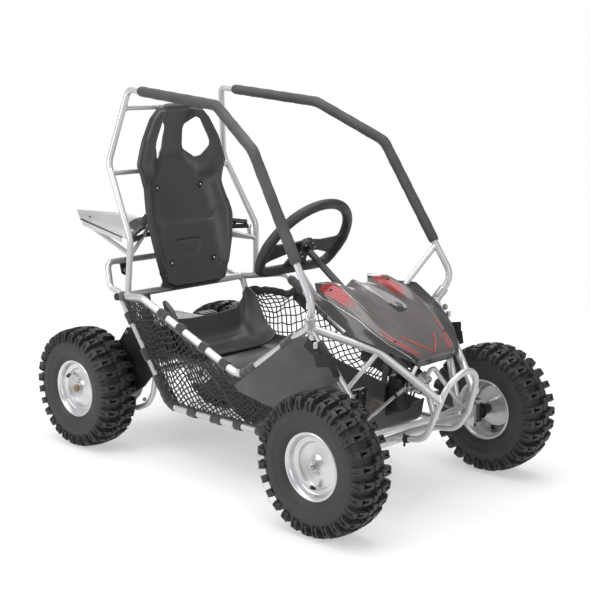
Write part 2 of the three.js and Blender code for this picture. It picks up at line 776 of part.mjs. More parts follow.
// The axle hangers: a plate on each side with the axle bearing in it, and a cradle tube below.
const hangerOut = 214;
const hangerPlate = 6;
const bearing = { radius: 30, width: 14 };
const hangerShares = [
  [-0.043, 0],
  [-0.03, 0.06],
  [0.063, 0.14],
  [0.113, 0.212],
  [0.17, 0.212],
  [0.236, 0.07],
  [0.212, 0.055],
  [0.183, 0.02],
  [0.112, -0.03],
  [0, -0.053],
  [-0.03, -0.045],
];
const cradleShares = [
  [0.238, 0.77, 0.067],
  [0.219, 0.75, 0.002],
  [0.193, 0.745, -0.039],
  [0.146, 0.745, -0.063],
  [0, 0.745, -0.063],
];
const rearAxle = { radius: 12.5, shoulder: 17, shoulderLength: 13, nut: 16, nutLength: 13, stub: 6 };

function axleHanger({ name, sign }) {
  const centre = at(0, sign * hangerOut, axleHeight);
  const outline = hangerShares.map(([x, z]) => flat(forward(x), level(z)));
  const body = plate(outline, hangerPlate, plane(axisX, axisZ, at(0, sign * hangerOut, 0)));
  const boss = drum(bearing.radius + hangerPlate, bearing.width, axisY, centre, 12);
  const cradle = tube(cradleShares.map((share) => place(share, sign)), loopTube, 3 * loopTube, 6);
  const rooms = [boreFor(bearing.radius, overrun, axisY, centre), roomFor(trayRun, loopTube)];
  rooms.push(...floorRooms, ...railRooms);
  add(`axle_hanger_${name}`, mainBody(cut(join([body, boss, cradle]), rooms)), blackSteel);

  const race = drum(bearing.radius, bearing.width, axisY, centre, 12);
  const raceBore = boreFor(rearAxle.radius, overrun, axisY, centre);
  add(`axle_bearing_${name}`, race.subtract(raceBore), zincSteel);
}

// Tyres: a carcass, with lugs at both shoulders and along the middle.
const rim = { bead: 76.2, flange: 83.6, seatHalf: 40, lip: 3.5, web: 5, hub: 22, inner: 22, outer: 32 };
const treadRadius = 168;
const pitchCount = 12;
const lugLength = 34;
const shoulderPhaseShare = 0.26;
const tyreWall = 9;
const carcassShares = [
  [0.39, 0.94],
  [0.75, 0.88],
  [1, 0.44],
];
const insideShares = [
  [0.8, 0.73],
  [0.39, 0.79],
];
// Lug outlines as shares: of the tyre's half width across, and of its radius.
const shoulderLugShares = [
  [0.34, 0.9],
  [0.36, 0.988],
  [0.86, 0.965],
  [1, 0.8],
];
const centreLugShares = [
  [-0.26, 0.9],
  [-0.26, 1],
  [0.26, 1],
  [0.26, 0.9],
];

function tyreSolid(centre) {
  const half = tyreWidth / 2;
  const seat = rim.seatHalf - fitGap;
  const bead = rim.bead + fitGap;
  const section = (shares) => shares.map(([up, out]) => [lerp(bead, treadRadius, up), out * half]);
  const outer = [[bead, seat], [rim.flange + runningGap, seat], ...section(carcassShares)];
  const inner = [...section(insideShares), [bead, seat - tyreWall]];
  const mirror = (points) => points.map(([radius, along]) => [radius, -along]).reverse();
  const outline = [...outer, ...mirror(outer), ...mirror(inner), ...inner];
  const lugs = [];
  for (let i = 0; i < pitchCount; i += 1) {
    for (const way of [-1, 0, 1]) {
      const turn = ((i + way * shoulderPhaseShare) / pitchCount) * 2 * Math.PI - Math.PI / 2;
      const shares = way === 0 ? centreLugShares : shoulderLugShares;
      const points = shares.map(([out, up]) => flat((way || 1) * out * half, up * tyreRadius));
      const up = at(Math.cos(turn), 0, Math.sin(turn));
      lugs.push(plate(points, lugLength, plane(axisY, up, centre)));
    }
  }
  return join([turned(outline, pitchCount, centre), ...lugs]);
}

// Rims: a turned barrel with bead seats and flanges, a dished web and a hub. The dish faces outward.
function rimSolid(centre, sign, shaftRadius) {
  const { bead, flange, seatHalf, lip, web, hub, inner, outer } = rim;
  const well = bead - lip;
  const edge = seatHalf + lip;
  const barrelOutline = [
    [well, -edge],
    [flange, -edge],
    [flange, -seatHalf],
    [bead, -seatHalf],
    [bead, seatHalf],
    [flange, seatHalf],
    [flange, edge],
    [well, edge],
  ];
  const discOutline = [
    [shaftRadius, -inner],
    [hub, -inner],
    [hub, web],
    [bead - lip / 2, 0],
    [bead - lip / 2, web],
    [hub + web, 2 * web],
    [hub + web, outer],
    [shaftRadius, outer],
  ];
  const solids = [barrelOutline, discOutline].map((outline) =>
    turned(outline.map(([radius, along]) => [radius, sign * along]), pitchCount, centre),
  );
  return cut(join(solids), [boreFor(shaftRadius, 2 * overrun, axisY, centre)]);
}

// The rear axle with its shoulders and wheel nuts, and the chain drive and brake on it.
const rearWheelY = rearTrack / 2;
const toothPitch = 12.7;
const rearTeeth = 36;
const driveTeeth = 12;
const sprocketWidth = 5;
const chain = { width: 8, height: 8, roller: 4, out: 160 };
const pitchRadius = (teeth) => toothPitch / (2 * Math.sin(Math.PI / teeth));
const disc = { radius: 75, width: 4, out: -130 };
const motor = { forwardShare: 0.104, upShare: 0.141, radius: 60, length: 92, shaft: 8, gap: 14 };
const axleCentre = at(0, 0, axleHeight);
const motorCentre = place([motor.forwardShare, 0, motor.upShare]);
const beside = (centre, y) => at(centre.x, y, centre.z);

const shaftSpan = (centre, from, to, radius, count = 12) =>
  drum(radius, Math.abs(to - from), axisY, beside(centre, (from + to) / 2), count);

function rearAxleSolid() {
  const hubIn = rearWheelY - rim.inner - fitGap;
  const hubOut = rearWheelY + rim.outer + fitGap;
  const end = hubOut + rearAxle.nutLength + rearAxle.stub;
  const parts = [shaftSpan(axleCentre, -end, end, rearAxle.radius)];
  for (const { sign } of sides) {
    const shoulderFrom = hubIn - rearAxle.shoulderLength;
    const nutTo = hubOut + rearAxle.nutLength;
    parts.push(shaftSpan(axleCentre, sign * shoulderFrom, sign * hubIn, rearAxle.shoulder));
    parts.push(shaftSpan(axleCentre, sign * hubOut, sign * nutTo, rearAxle.nut, 6));
  }
  return join(parts);
}

// A sprocket. Its teeth end just inside the chain's rollers, so that they turn clear of them.
function sprocket(teeth, centre, shaftRadius, windowCount) {
  const tip = pitchRadius(teeth) - chain.roller - runningGap;
  const root = tip - toothPitch / 4;
  const outline = [];
  for (let i = 0; i < teeth; i += 1) {
    [root, tip].forEach((radius, k) => {
      const turn = ((i + k / 2) / teeth) * 2 * Math.PI;
      outline.push(flat(radius * Math.cos(turn), radius * Math.sin(turn)));
    });
  }
  const middle = (root + rearAxle.shoulder) / 2;
  const size = (root - rearAxle.shoulder) / 4;
  const windows = [];
  for (let i = 0; i < windowCount; i += 1) {
    const turn = (i / windowCount) * 2 * Math.PI;
    const offset = flat(middle * Math.cos(turn), middle * Math.sin(turn));
    windows.push(ring(size, 8).map((point) => point.add(offset)));
  }
  const body = plate(outline, sprocketWidth, plane(axisX, axisZ, centre), windows);
  return body.subtract(boreFor(shaftRadius, overrun, axisY, centre));
}

// The chain: a band round both sprockets, straight over each of its links.
function chainSolid() {
  const span = Math.hypot(motorCentre.x - axleCentre.x, motorCentre.z - axleCentre.z);
  const rise = Math.atan2(motorCentre.z - axleCentre.z, motorCentre.x - axleCentre.x);
  const [big, small] = [pitchRadius(rearTeeth), pitchRadius(driveTeeth)];
  const lean = Math.acos((big - small) / span);
  const straight = span * Math.sin(lean);
  const [bigWrap, smallWrap] = [2 * (Math.PI - lean), 2 * lean];
  const total = big * bigWrap + small * smallWrap + 2 * straight;
  const links = Math.round(total / toothPitch);
  const round = (centre, radius, turn) =>
    flat(centre.x + radius * Math.cos(turn), centre.z + radius * Math.sin(turn));
  const trace = (offset, share) => {
    let run = share * total;
    const bigPlace = (turn) => round(axleCentre, big + offset, turn);
    const smallPlace = (turn) => round(motorCentre, small + offset, turn);
    if (run < big * bigWrap) return bigPlace(rise + lean + run / big);
    run -= big * bigWrap;
    if (run < straight) return bigPlace(rise - lean).lerp(smallPlace(rise - lean), run / straight);
    run -= straight;
    if (run < small * smallWrap) return smallPlace(rise - lean + run / small);
    run -= small * smallWrap;
    return smallPlace(rise + lean).lerp(bigPlace(rise + lean), run / straight);
  };
  const outer = [];
  const inner = [];
  for (let i = 0; i < links; i += 1) {
    outer.push(trace(chain.height / 2, i / links));
    inner.push(trace(fitGap - chain.height / 2, i / links));
  }
  return plate(outer, chain.width, plane(axisX, axisZ, at(0, chain.out, 0)), [inner]);
}

function rearDrive() {
  add("rear_axle", rearAxleSolid(), zincSteel);
  add("rear_sprocket", sprocket(rearTeeth, beside(axleCentre, chain.out), rearAxle.radius, 5), zincSteel);
  add("drive_sprocket", sprocket(driveTeeth, beside(motorCentre, chain.out), motor.shaft, 0), zincSteel);
  add("chain", chainSolid(), zincSteel);
  const discCentre = beside(axleCentre, disc.out);
  const discBody = drum(disc.radius, disc.width, axisY, discCentre, 24);
  add("brake_disc", discBody.subtract(boreFor(rearAxle.radius, overrun, axisY, discCentre)), zincSteel);
}

// A tray bar crosses between the down tubes, under the rear edge of the tub's platform.
const trayLevel = level(platformShare) - sheetWall - fitGap - loopTube / 2;

function trayPlace(sign) {
  const [corner, low] = spots(["crossCorner", "downLow"], sign);
  return corner.lerp(low, (corner.z - trayLevel) / (corner.z - low.z));
}

const trayRun = [trayPlace(1), trayPlace(-1)];

// The motor's foot hooks over the tray bar.
const motorFoot = { width: 70, height: 13 };

function motorSolid() {
  const face = chain.out - chain.width / 2 - motor.gap;
  const casing = shaftSpan(motorCentre, face - motor.length, face, motor.radius, 16);
  const shaft = shaftSpan(motorCentre, face, chain.out + chain.width, motor.shaft, 10);
  const reach = trayRun[0].x - motorCentre.x;
  const footMiddle = at(motorCentre.x + reach / 2, face - motor.length / 2, trayLevel);
  const foot = block([reach, motorFoot.width, motorFoot.height], footMiddle);
  const motorBody = cut(join([casing, shaft, foot]), [roomFor(trayRun, loopTube)]);
  add("motor", mainBody(motorBody), blackSteel);
}

// The battery box behind the seat: lugs join it to the tray bar, and one lug to the cross tube.
const battery = { length: 150, width: 180, height: 108, out: -60, gap: 7, lug: 26 };
const batteryLug = { out: 55, hangerOut: 143 };

function batteryBox() {
  const cross = spot("crossCorner");
  const frontX = forward(tubShares[0][0]) - battery.gap;
  const bottom = axleHeight + disc.radius + battery.gap;
  const top = bottom + battery.height;
  const centre = at(frontX - battery.length / 2, battery.out, bottom + battery.height / 2);
  const parts = [block([battery.length, battery.width, battery.height], centre), tube(trayRun, loopTube)];
  for (const way of [-1, 1]) {
    const from = frontX - battery.lug;
    const span = trayRun[0].x - from;
    const middle = at(from + span / 2, battery.out + way * batteryLug.out, trayLevel);
    parts.push(block([span, battery.lug, motorFoot.height], middle));
  }
  const outline = [
    flat(cross.x - battery.lug, top - sheetWall),
    flat(cross.x + battery.lug, top - sheetWall),
    flat(cross.x + frameTube / 2, cross.z),
    flat(cross.x - frameTube / 2, cross.z),
  ];
  parts.push(plate(outline, hangerPlate, plane(axisX, axisZ, at(0, -batteryLug.hangerOut, 0))));
  add("battery_box", mainBody(cut(join(parts), [crossRoom, ...floorRooms])), blackSteel);
}

// The brake caliper straddles the disc on an arm from the right hanger.
const caliper = { length: 40, width: 34, height: 38, arm: 7, slot: 1.5, reachShare: 0.72, footShare: 0.007 };
const caliperCentre = beside(axleCentre, disc.out).add(
  at(-caliper.reachShare * disc.radius, 0, caliper.reachShare * disc.radius),
);

function brakeCaliper() {
  const body = block([caliper.length, caliper.width, caliper.height], caliperCentre);
  const slotWidth = disc.width + 2 * caliper.slot;
  const slot = drum(disc.radius + caliper.slot, slotWidth, axisY, beside(axleCentre, disc.out), 24);
  const inner = disc.out - caliper.width / 2;
  const footY = -hangerOut + hangerPlate / 2 + runningGap;
  const z = caliperCentre.z - caliper.height / 2 + caliper.arm;
  const armFrom = at(caliperCentre.x + caliper.arm, inner + caliper.arm, z);
  const elbow = at(forward(-caliper.footShare), (inner + footY) / 2, z);
  const arm = tube([armFrom, elbow, at(elbow.x, footY, z)], 2 * caliper.arm, caliper.arm);
  add("brake_caliper", cut(join([body, arm]), [slot]), blackSteel);
}

// The brake cable, held under the tub and along the right floor rail all the way to the caliper.
const cableDiameter = 6;
const cableShares = [
  [0.89, 0.17, -0.02],
  [0.83, -0.21, -0.02],
  [0.752, -0.636, -0.022],
  [0.693, -0.685, -0.025],
  [0.307, -0.685, -0.025],
  [0.242, -0.67, 0.06],
  [0.15, -0.64, 0.141],
  [0.02, -0.59, 0.14],
];

function brakeCable() {
  const top = caliperCentre.z + caliper.height / 2 + fitGap;
  const end = [at(caliperCentre.x, disc.out, top + overrun / 2), at(caliperCentre.x, disc.out, top)];
  const run = [...cableShares.map((share) => place(share)), ...end];
  add("brake_cable", tube(run, cableDiameter, 4 * cableDiameter, 6), blackSteel);
}

// The knuckles turn on the kingpins: sleeve, spindle with its wheel nut, and a steering arm behind.
const knuckle = { spindle: 10, shoulder: 15, nut: 14, nutLength: 12, stub: 5, arm: 60, plate: 6, width: 18 };
const rodEye = { pin: 3.5, radius: 10, height: 8, rod: 8, lift: 1 };
const sleeveHalf = earLevel - kingpin.ear / 2 - fitGap;
const armZ = axleHeight - sleeveHalf + rodEye.lift + knuckle.plate / 2;
const armTip = (sign, z) => at(wheelbase - knuckle.arm, sign * kingpinY, z);
const outerEye = (sign) => armTip(sign, armZ + knuckle.plate / 2 + fitGap + rodEye.height / 2);

function knuckleSolid(sign) {
  const pivot = at(wheelbase, sign * kingpinY, axleHeight);
  const hubIn = frontTrack / 2 - rim.inner - fitGap;
  const hubOut = frontTrack / 2 + rim.outer + fitGap;
  const nutTo = hubOut + knuckle.nutLength;
  const span = (from, to, radius, count) => shaftSpan(pivot, sign * from, sign * to, radius, count);
  const pinLength = outerEye(sign).z + rodEye.height / 2 + rodEye.lift - armZ;
  const armMiddle = at(wheelbase - knuckle.arm / 2, sign * kingpinY, armZ);
  const parts = [
    drum(kingpin.sleeve, 2 * sleeveHalf, axisZ, pivot, 10),
    span(kingpinY, nutTo + knuckle.stub, knuckle.spindle, 10),
    span(kingpinY + kingpin.sleeve / 2, hubIn, knuckle.shoulder, 10),
    span(hubOut, nutTo, knuckle.nut, 6),
    block([knuckle.arm, knuckle.width, knuckle.plate], armMiddle),
    drum(knuckle.width / 2, knuckle.plate, axisZ, armTip(sign, armZ), 8),
    drum(rodEye.pin, pinLength, axisZ, armTip(sign, armZ + pinLength / 2), 8),
  ];
  return cut(join(parts), [boreFor(kingpin.radius, 2 * overrun, axisZ, pivot)]);
}

function wheels() {
  for (const { name, sign } of sides) {
    const rear = at(0, sign * rearWheelY, axleHeight);
    const front = at(wheelbase, (sign * frontTrack) / 2, axleHeight);
    add(`rear_rim_${name}`, rimSolid(rear, sign, rearAxle.radius), silverPaint);
    add(`rear_tyre_${name}`, tyreSolid(rear), tyreRubber);
    add(`front_rim_${name}`, rimSolid(front, sign, knuckle.spindle), silverPaint);
    add(`front_tyre_${name}`, tyreSolid(front), tyreRubber);
    add(`knuckle_${name}`, knuckleSolid(sign), blackSteel);
  }
}

// Steering: the pitman plate near the column's foot, and two tie rods from its pin to the steering
// arms. The rods' inner eyes are wide, as the pin rises while the wheel is turned.
const pitman = { fromFoot: 43, thickness: 6, radius: 50, pin: 3, boss: 9, bore: 7.3, eye: 12, width: 9 };
const pitmanAt = columnLength - pitman.fromFoot;
const eyeStep = pitman.width + 3 * runningGap;
const eyeAt = (index) => pitmanAt + (pitman.thickness + eyeStep + runningGap) / 2 + index * eyeStep;
const halfTurnSteps = 6;

function steeringColumn() {
  const shaft = tube([onColumn(0), columnEnd], 2 * column.radius, column.radius, 10);
  const outline = [];
  const sweep = (centre, radius, from) => {
    for (let k = 0; k <= halfTurnSteps; k += 1) {
      const turn = from + (k / halfTurnSteps) * Math.PI;
      outline.push(flat(radius * Math.cos(turn), centre + radius * Math.sin(turn)));
    }
  };
  sweep(0, column.sleeve, 0);
  sweep(-pitman.radius, pitman.boss, Math.PI);
  const arm = plate(outline, pitman.thickness, plane(axisY, columnUp, onColumn(pitmanAt)));
  const pinTo = eyeAt(1) + eyeStep;
  const pinRun = [onColumn(pitmanAt, -pitman.radius), onColumn(pinTo, -pitman.radius)];
  const pin = tube(pinRun, 2 * pitman.pin, pitman.pin, 10);
  add("steering_column", join([shaft, arm, pin]), blackSteel);
}

function tieRod({ name, sign }, index) {
  const inner = onColumn(eyeAt(index), -pitman.radius);
  const outer = outerEye(sign);
  const way = inner.clone().sub(outer).normalize();
  const from = outer.clone().addScaledVector(way, rodEye.pin);
  const to = inner.clone().addScaledVector(way, -pitman.bore);
  const parts = [
    tube([from, to], rodEye.rod, rodEye.rod, 6),
    drum(pitman.eye, pitman.width, columnAxis, inner, 10),
    drum(rodEye.radius, rodEye.height, axisZ, outer, 10),
  ];
  const bores = [
    boreFor(pitman.bore, overrun / 2, columnAxis, inner, 0),
    boreFor(rodEye.pin, overrun / 2, axisZ, outer),
  ];
  add(`tie_rod_${name}`, mainBody(cut(join(parts), bores)), zincSteel);
}

// The column's foot turns in a sleeve that a post holds off the axle's brace, with a strut to the left.
const strutFootShare = 0.72;
const strutRise = 45;

function columnBracket() {
  const middle = onColumn(columnLength - column.sleeveLength / 4);
  const apex = spot("braceApex");
  const lug = middle.clone().addScaledVector(columnUp, strutRise);
  const strutFoot = apex.clone().lerp(braceRun[0], strutFootShare);
  const parts = [
    drum(column.sleeve, column.sleeveLength, columnAxis, middle, 12),
    tube([middle, apex], loopTube, loopTube, 6),
    tube([middle, lug, strutFoot], gussetTube, gussetTube, 6),
  ];
  const bore = boreFor(column.radius, 2 * overrun, columnAxis, middle);
  const braceRoom = roomFor(braceRun, loopTube, loopTube);
  add("column_bracket", mainBody(cut(join(parts), [bore, braceRoom])), silverPaint);
}

// The steering wheel: a padded rim with a flat bottom, a hub and three spokes.
const wheel = { radius: 157, flat: 86, grip: 28, hub: 30, hubDepth: 20, spoke: 5, spokeWidth: 34, lift: 18 };
const gripSteps = 14;
const gripSides = 8;

function gripSolid() {
  const flatTurn = Math.asin(wheel.flat / wheel.radius);
  const corners = [];
  for (let k = 0; k <= gripSteps; k += 1) {
    const turn = lerp(-flatTurn, Math.PI + flatTurn, k / gripSteps);
    corners.push(flat(wheel.radius * Math.cos(turn), wheel.radius * Math.sin(turn)));
  }
  const points = [];
  const order = [];
  corners.forEach((corner, k) => {
    const before = corners.at(k - 1);
    const after = corners[(k + 1) % corners.length];
    const tangent = after.clone().sub(before).normalize();
    for (const { x, y } of ring(wheel.grip / 2, gripSides)) {
      points.push(onColumn(y - wheel.lift, corner.y - tangent.x * x, corner.x + tangent.y * x));
    }
    for (let j = 0; j < gripSides; j += 1) {
      const [a, b] = [k * gripSides + j, k * gripSides + ((j + 1) % gripSides)];
      const [c, d] = [a, b].map((n) => (n + gripSides) % (corners.length * gripSides));
      order.push(a, b, d, a, d, c);
    }
  });
  const geometry = new THREE.BufferGeometry().setFromPoints(points);
  geometry.setIndex(order);
  return solidOf(geometry);
}

function steeringWheel() {
  const hubMiddle = -wheel.hubDepth / 2 - fitGap;
  const hub = drum(wheel.hub, wheel.hubDepth, columnAxis, onColumn(hubMiddle), 12);
  const ends = [flat(wheel.radius, 0), flat(-wheel.radius, 0), flat(0, -wheel.flat)];
  const spokes = ends.map((end) => {
    const side = flat(-end.y, end.x).setLength(wheel.spokeWidth / 2);
    const outline = [side, side.clone().negate(), end.clone().sub(side), end.clone().add(side)];
    return plate(outline, wheel.spoke, plane(axisY, columnUp, onColumn(-wheel.lift)));
  });
  add("steering_wheel", join([gripSolid(), hub, ...spokes]), padFoam);
}

// Side nets between the rail and the floor rail: a lattice of diamonds that meet at knots.
const netThickness = 3;
const netColumns = 11;
const netRows = 3;
const netOpenShare = 0.8;
const netRearShare = 0.25;
const netLowShare = 0.21;
const netFrontShare = 0.44;
const netTurnShare = 0.85;

// The lattice in half cells: its points, and its faces as threes of points.
function netLattice() {
  const [lastP, lastQ] = [2 * netColumns, 2 * netRows];
  const points = [];
  const found = new Map();
  const knot = (p, q) => {
    const key = [p, q].join();
    if (!found.has(key)) found.set(key, points.push([p, q]) - 1);
    return found.get(key);
  };
  const faces = [];
  for (let p = 0; p <= lastP; p += 1) {
    for (let q = p % 2; q <= lastQ; q += 2) {
      const ways = [[1, 0], [0, 1], [-1, 0], [0, -1]];
      const inside = ([dp, dq]) => p + dp >= 0 && p + dp <= lastP && q + dq >= 0 && q + dq <= lastQ;
      const kept = ways.filter(inside);
      if (kept.length < 4) {
        const corners = kept.map(([dp, dq]) => knot(p + dp, q + dq));
        if (kept.length === 2) corners.push(knot(p, q));
        faces.push(orderedFace(points, corners));
        continue;
      }
      const outer = ways.map(([dp, dq]) => knot(p + dp, q + dq));
      const inner = ways.map(([dp, dq]) => points.push([p + dp * netOpenShare, q + dq * netOpenShare]) - 1);
      ways.forEach((way, k) => {
        const next = (k + 1) % ways.length;
        faces.push([outer[k], outer[next], inner[next]], [outer[k], inner[next], inner[k]]);
      });
    }
  }
  return { points, faces };
}

// A face turned so that its corners run anticlockwise in the lattice.
function orderedFace(points, corners) {
  const [a, b, c] = corners.map((k) => points[k]);
  const area = (b[0] - a[0]) * (c[1] - a[1]) - (b[1] - a[1]) * (c[0] - a[0]);
  return area > 0 ? corners : corners.reverse();
}

function sideNet({ name, sign }) {
  const bend = 3 * frameTube;
  const [corner, railBend, railLow, cageFoot] = spots(railRun, sign);
  const [, downLow, floorRear, floorMiddle] = spots(floorRun, sign);
  const upperRear = corner.clone().lerp(railBend, netRearShare);
  const upperFront = railLow.clone().lerp(cageFoot, netFrontShare);
  const upper = new BentPath([upperRear, railBend, railLow, upperFront], bend);
  const lowerRear = corner.clone().lerp(downLow, netLowShare);
  const lowerTurn = floorRear.clone().lerp(floorMiddle, netTurnShare);
  const lowerFront = spot("netFrontLower", sign);
  const lower = new BentPath([lowerRear, downLow, floorRear, lowerTurn, lowerFront], bend);
  const { points, faces } = netLattice();
  const face = (way) =>
    points.map(([p, q]) => {
      const share = p / (2 * netColumns);
      const point = lower.placeAt(share).lerp(upper.placeAt(share), q / (2 * netRows));
      return point.addScaledVector(axisY, (way * netThickness) / 2);
    });
  const rooms = [...floorRooms, ...railRooms, postSolid(sign, fitGap)];
  add(`side_net_${name}`, mainBody(cut(closedSheet(face(-1), face(1), faces), rooms)), darkVinyl);
}

// Guard panels: flat vinyl sheets outside the strut and post, in the plane that touches both.
const guardThickness = 3;
const guardShares = [
  [0.584, 0.107],
  [0.693, 0.193],
  [0.814, 0.299],
  [0.884, 0.323],
  [0.911, 0.285],
  [0.958, 0.201],
  [0.816, 0.127],
  [0.742, 0.063],
];

function guardPanel({ name, sign }) {
  const outward = frameTube / 2 + guardThickness / 2 + runningGap;
  const [low, top, post] = spots(["railLow", "cageFoot", "postMiddle"], sign);
  const normal = top.clone().sub(low).cross(post.clone().sub(low)).normalize();
  if (normal.y * sign < 0) normal.negate();
  const origin = low.clone().addScaledVector(normal, outward);
  const ahead = at(1, -normal.x / normal.y, 0);
  const upward = at(0, -normal.z / normal.y, 1);
  const leaned = new THREE.Matrix4().makeBasis(ahead, upward, axisY.clone().negate());
  leaned.setPosition(0, origin.dot(normal) / normal.y, 0);
  const sheet = plate(guardShares.map(([x, z]) => flat(forward(x), level(z))), guardThickness, leaned);
  const { roof } = cageRuns(sign);
  const rooms = [postSolid(sign, fitGap), roomFor(roof, cageTube), roomFor(spots(railRun, sign), frameTube)];
  rooms.push(roomFor(spots(frontTubeRun, sign), frameTube));
  add(`guard_panel_${name}`, mainBody(cut(sheet, rooms)), darkVinyl);
}

sides.forEach(frameSide);
frontAxle();
bumperLoop();
rearFrame();
dashHoop();
tailFrame();
tailPanel();
seatCarrier();
seatBack();
seatBase();
floorTub();
pedals.forEach(pedalSolid);
hoodSolid();
sides.forEach(roofPad);
sides.forEach(sideNet);
sides.forEach(guardPanel);
sides.forEach(axleHanger);
rearDrive();
motorSolid();
batteryBox();
brakeCaliper();
brakeCable();
wheels();
steeringColumn();
steeringWheel();
columnBracket();
sides.forEach(tieRod);

// The kart stands with the middle of its footprint at the origin.
const bounds = new THREE.Box3().setFromObject(kart);
const middle = bounds.getCenter(at(0, 0, 0));
kart.position.set(-middle.x, -middle.y, -bounds.min.z);

export default kart;
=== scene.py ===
# The looks of an off road go kart: silver tubes, knobbly tyres, moulded seat and hood, side nets.
# Places are in millimetres from the middle of the rear axle at floor level, with X forward, Y to
# the driver's left and Z up. They turn into metres in the part's frame when a piece is made.
import math
import random

import bmesh
import bpy
from mathutils import Matrix, Quaternion, Vector
from mathutils.bvhtree import BVHTree
from mathutils.geometry import delaunay_2d_cdt, tessellate_polygon


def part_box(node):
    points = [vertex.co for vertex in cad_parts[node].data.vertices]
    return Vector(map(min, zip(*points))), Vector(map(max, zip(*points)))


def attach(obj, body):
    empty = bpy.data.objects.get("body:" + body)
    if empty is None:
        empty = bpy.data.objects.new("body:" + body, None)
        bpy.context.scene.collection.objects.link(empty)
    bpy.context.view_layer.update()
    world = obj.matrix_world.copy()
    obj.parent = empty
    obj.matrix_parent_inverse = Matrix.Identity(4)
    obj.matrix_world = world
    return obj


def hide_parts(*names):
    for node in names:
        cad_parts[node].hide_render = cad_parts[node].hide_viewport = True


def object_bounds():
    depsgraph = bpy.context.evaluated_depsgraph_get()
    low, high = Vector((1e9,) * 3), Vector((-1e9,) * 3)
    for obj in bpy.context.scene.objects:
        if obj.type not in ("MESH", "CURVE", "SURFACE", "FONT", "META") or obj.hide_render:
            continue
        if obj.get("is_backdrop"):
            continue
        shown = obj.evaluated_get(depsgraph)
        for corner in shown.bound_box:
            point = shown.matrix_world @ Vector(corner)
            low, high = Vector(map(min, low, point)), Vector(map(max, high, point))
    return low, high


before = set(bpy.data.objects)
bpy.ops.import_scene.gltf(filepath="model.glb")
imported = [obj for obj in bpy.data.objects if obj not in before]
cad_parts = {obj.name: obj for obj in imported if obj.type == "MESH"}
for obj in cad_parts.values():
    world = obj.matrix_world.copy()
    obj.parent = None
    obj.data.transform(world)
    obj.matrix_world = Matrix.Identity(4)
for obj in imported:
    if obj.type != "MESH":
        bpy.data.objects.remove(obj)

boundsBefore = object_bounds()
random.seed(7)

mm = 0.001
axleLow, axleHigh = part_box("rear_axle")
axleX = (axleLow.x + axleHigh.x) / 2
wheelbase = 1010.0
axleHeight = 177.5
cageSpan = 1045.0 - axleHeight
halfWidth = 283.0
axisX, axisY, axisZ = Vector((1, 0, 0)), Vector((0, 1, 0)), Vector((0, 0, 1))
sides = {"right": -1, "left": 1}


def level(share):
    return axleHeight + share * cageSpan


def inMetres(point):
    return Vector((point.x * mm + axleX, point.y * mm, point.z * mm))


places = {
    "crossCorner": (0.12, 0.848, 0.322),
    "crossEnd": (0.12, 0.898, 0.322),
    "railBend": (0.267, 1, 0.345),
    "railLow": (0.614, 0.859, 0.145),
    "cageFoot": (0.87, 0.89, 0.342),
    "downLow": (0.242, 0.76, 0.067),
    "floorRear": (0.297, 0.749, -0.025),
    "floorMiddle": (0.693, 0.749, -0.025),
    "floorFront": (1, 0.53, 0),
    "hoopFoot": (0.169, 0.899, 0.33),
    "hoopLow": (0.18, 0.873, 0.516),
    "hoopMiddle": (0.062, 0.792, 0.758),
    "hoopTop": (0.105, 0.632, 1),
    "roofRear": (0.485, 0.686, 0.956),
    "roofFront": (0.683, 0.901, 0.834),
    "cageBow": (0.907, 0.986, 0.416),
    "postMiddle": (0.965, 0.728, 0.145),
    "postFoot": (1, 0.686, 0),
    "dashJoin": (0.854, 0.965, 0.513),
    "dashBar": (0.824, 0.548, 0.376),
    "tubeBend": (1.003, 0.516, 0.275),
    "tubeEnd": (1.139, 0.24, 0.137),
    "gussetFoot": (0.955, 0.742, 0.167),
    "hoodTabFoot": (1.072, 0.378, 0.203),
    "hoodTabTop": (1.074, 0.307, 0.233),
    "loopFoot": (1, 0.254, 0),
    "loopLow": (1.087, 0.237, 0.016),
    "loopSide": (1.116, 0.265, 0.073),
    "loopShoulder": (1.15, 0.219, 0.187),
    "loopTop": (1.165, 0, 0.229),
    "braceApex": (1.067, 0, 0.059),
    "rearLoopFoot": (0.116, 0.8, 0.323),
    "rearLoopLow": (0.056, 0.8, 0.341),
    "rearLoopTop": (0.026, 0.75, 0.42),
    "upperBar": (0.0945, 0.673, 0.939),
    "middleBar": (0.0775, 0.802, 0.727),
    "tailStrutFoot": (0.18, 0.873, 0.467),
    "tailStrutTip": (-0.3, 0.141, 0.503),
    "tailBarEnd": (0.1615, 0.82, 0.51),
    "tailBarTurn": (0.087, 0.41, 0.51),
    "tailBraceTop": (0.06, 0.265, 0.537),
    "wheelHub": (0.631, 0, 0.505),
    "columnFoot": (1.037, 0, 0.166),
    "netFrontLower": (0.718, 0.763, 0.035),
}


# A place from its shares of the wheelbase, of the rails' half width and of the cage's height.
def placeAt(x, y, z):
    return Vector((x * wheelbase, y * halfWidth, level(z)))


def spot(name, sign=1):
    x, y, z = places[name]
    return placeAt(x, sign * y, z)


def spots(names, sign=1):
    return [spot(name, sign) for name in names]


def across(names):
    return spots(names, 1) + spots(names, -1)[::-1]


# Camera, found from the photo.
camera = {
    "place": (2954.7, -2446.8, 1110.9),
    "yaw": 134.055,
    "pitch": -10.412,
    "roll": -0.309,
    "lens": 76.5,
    "sensor": 36,
    "reach": 60,
}


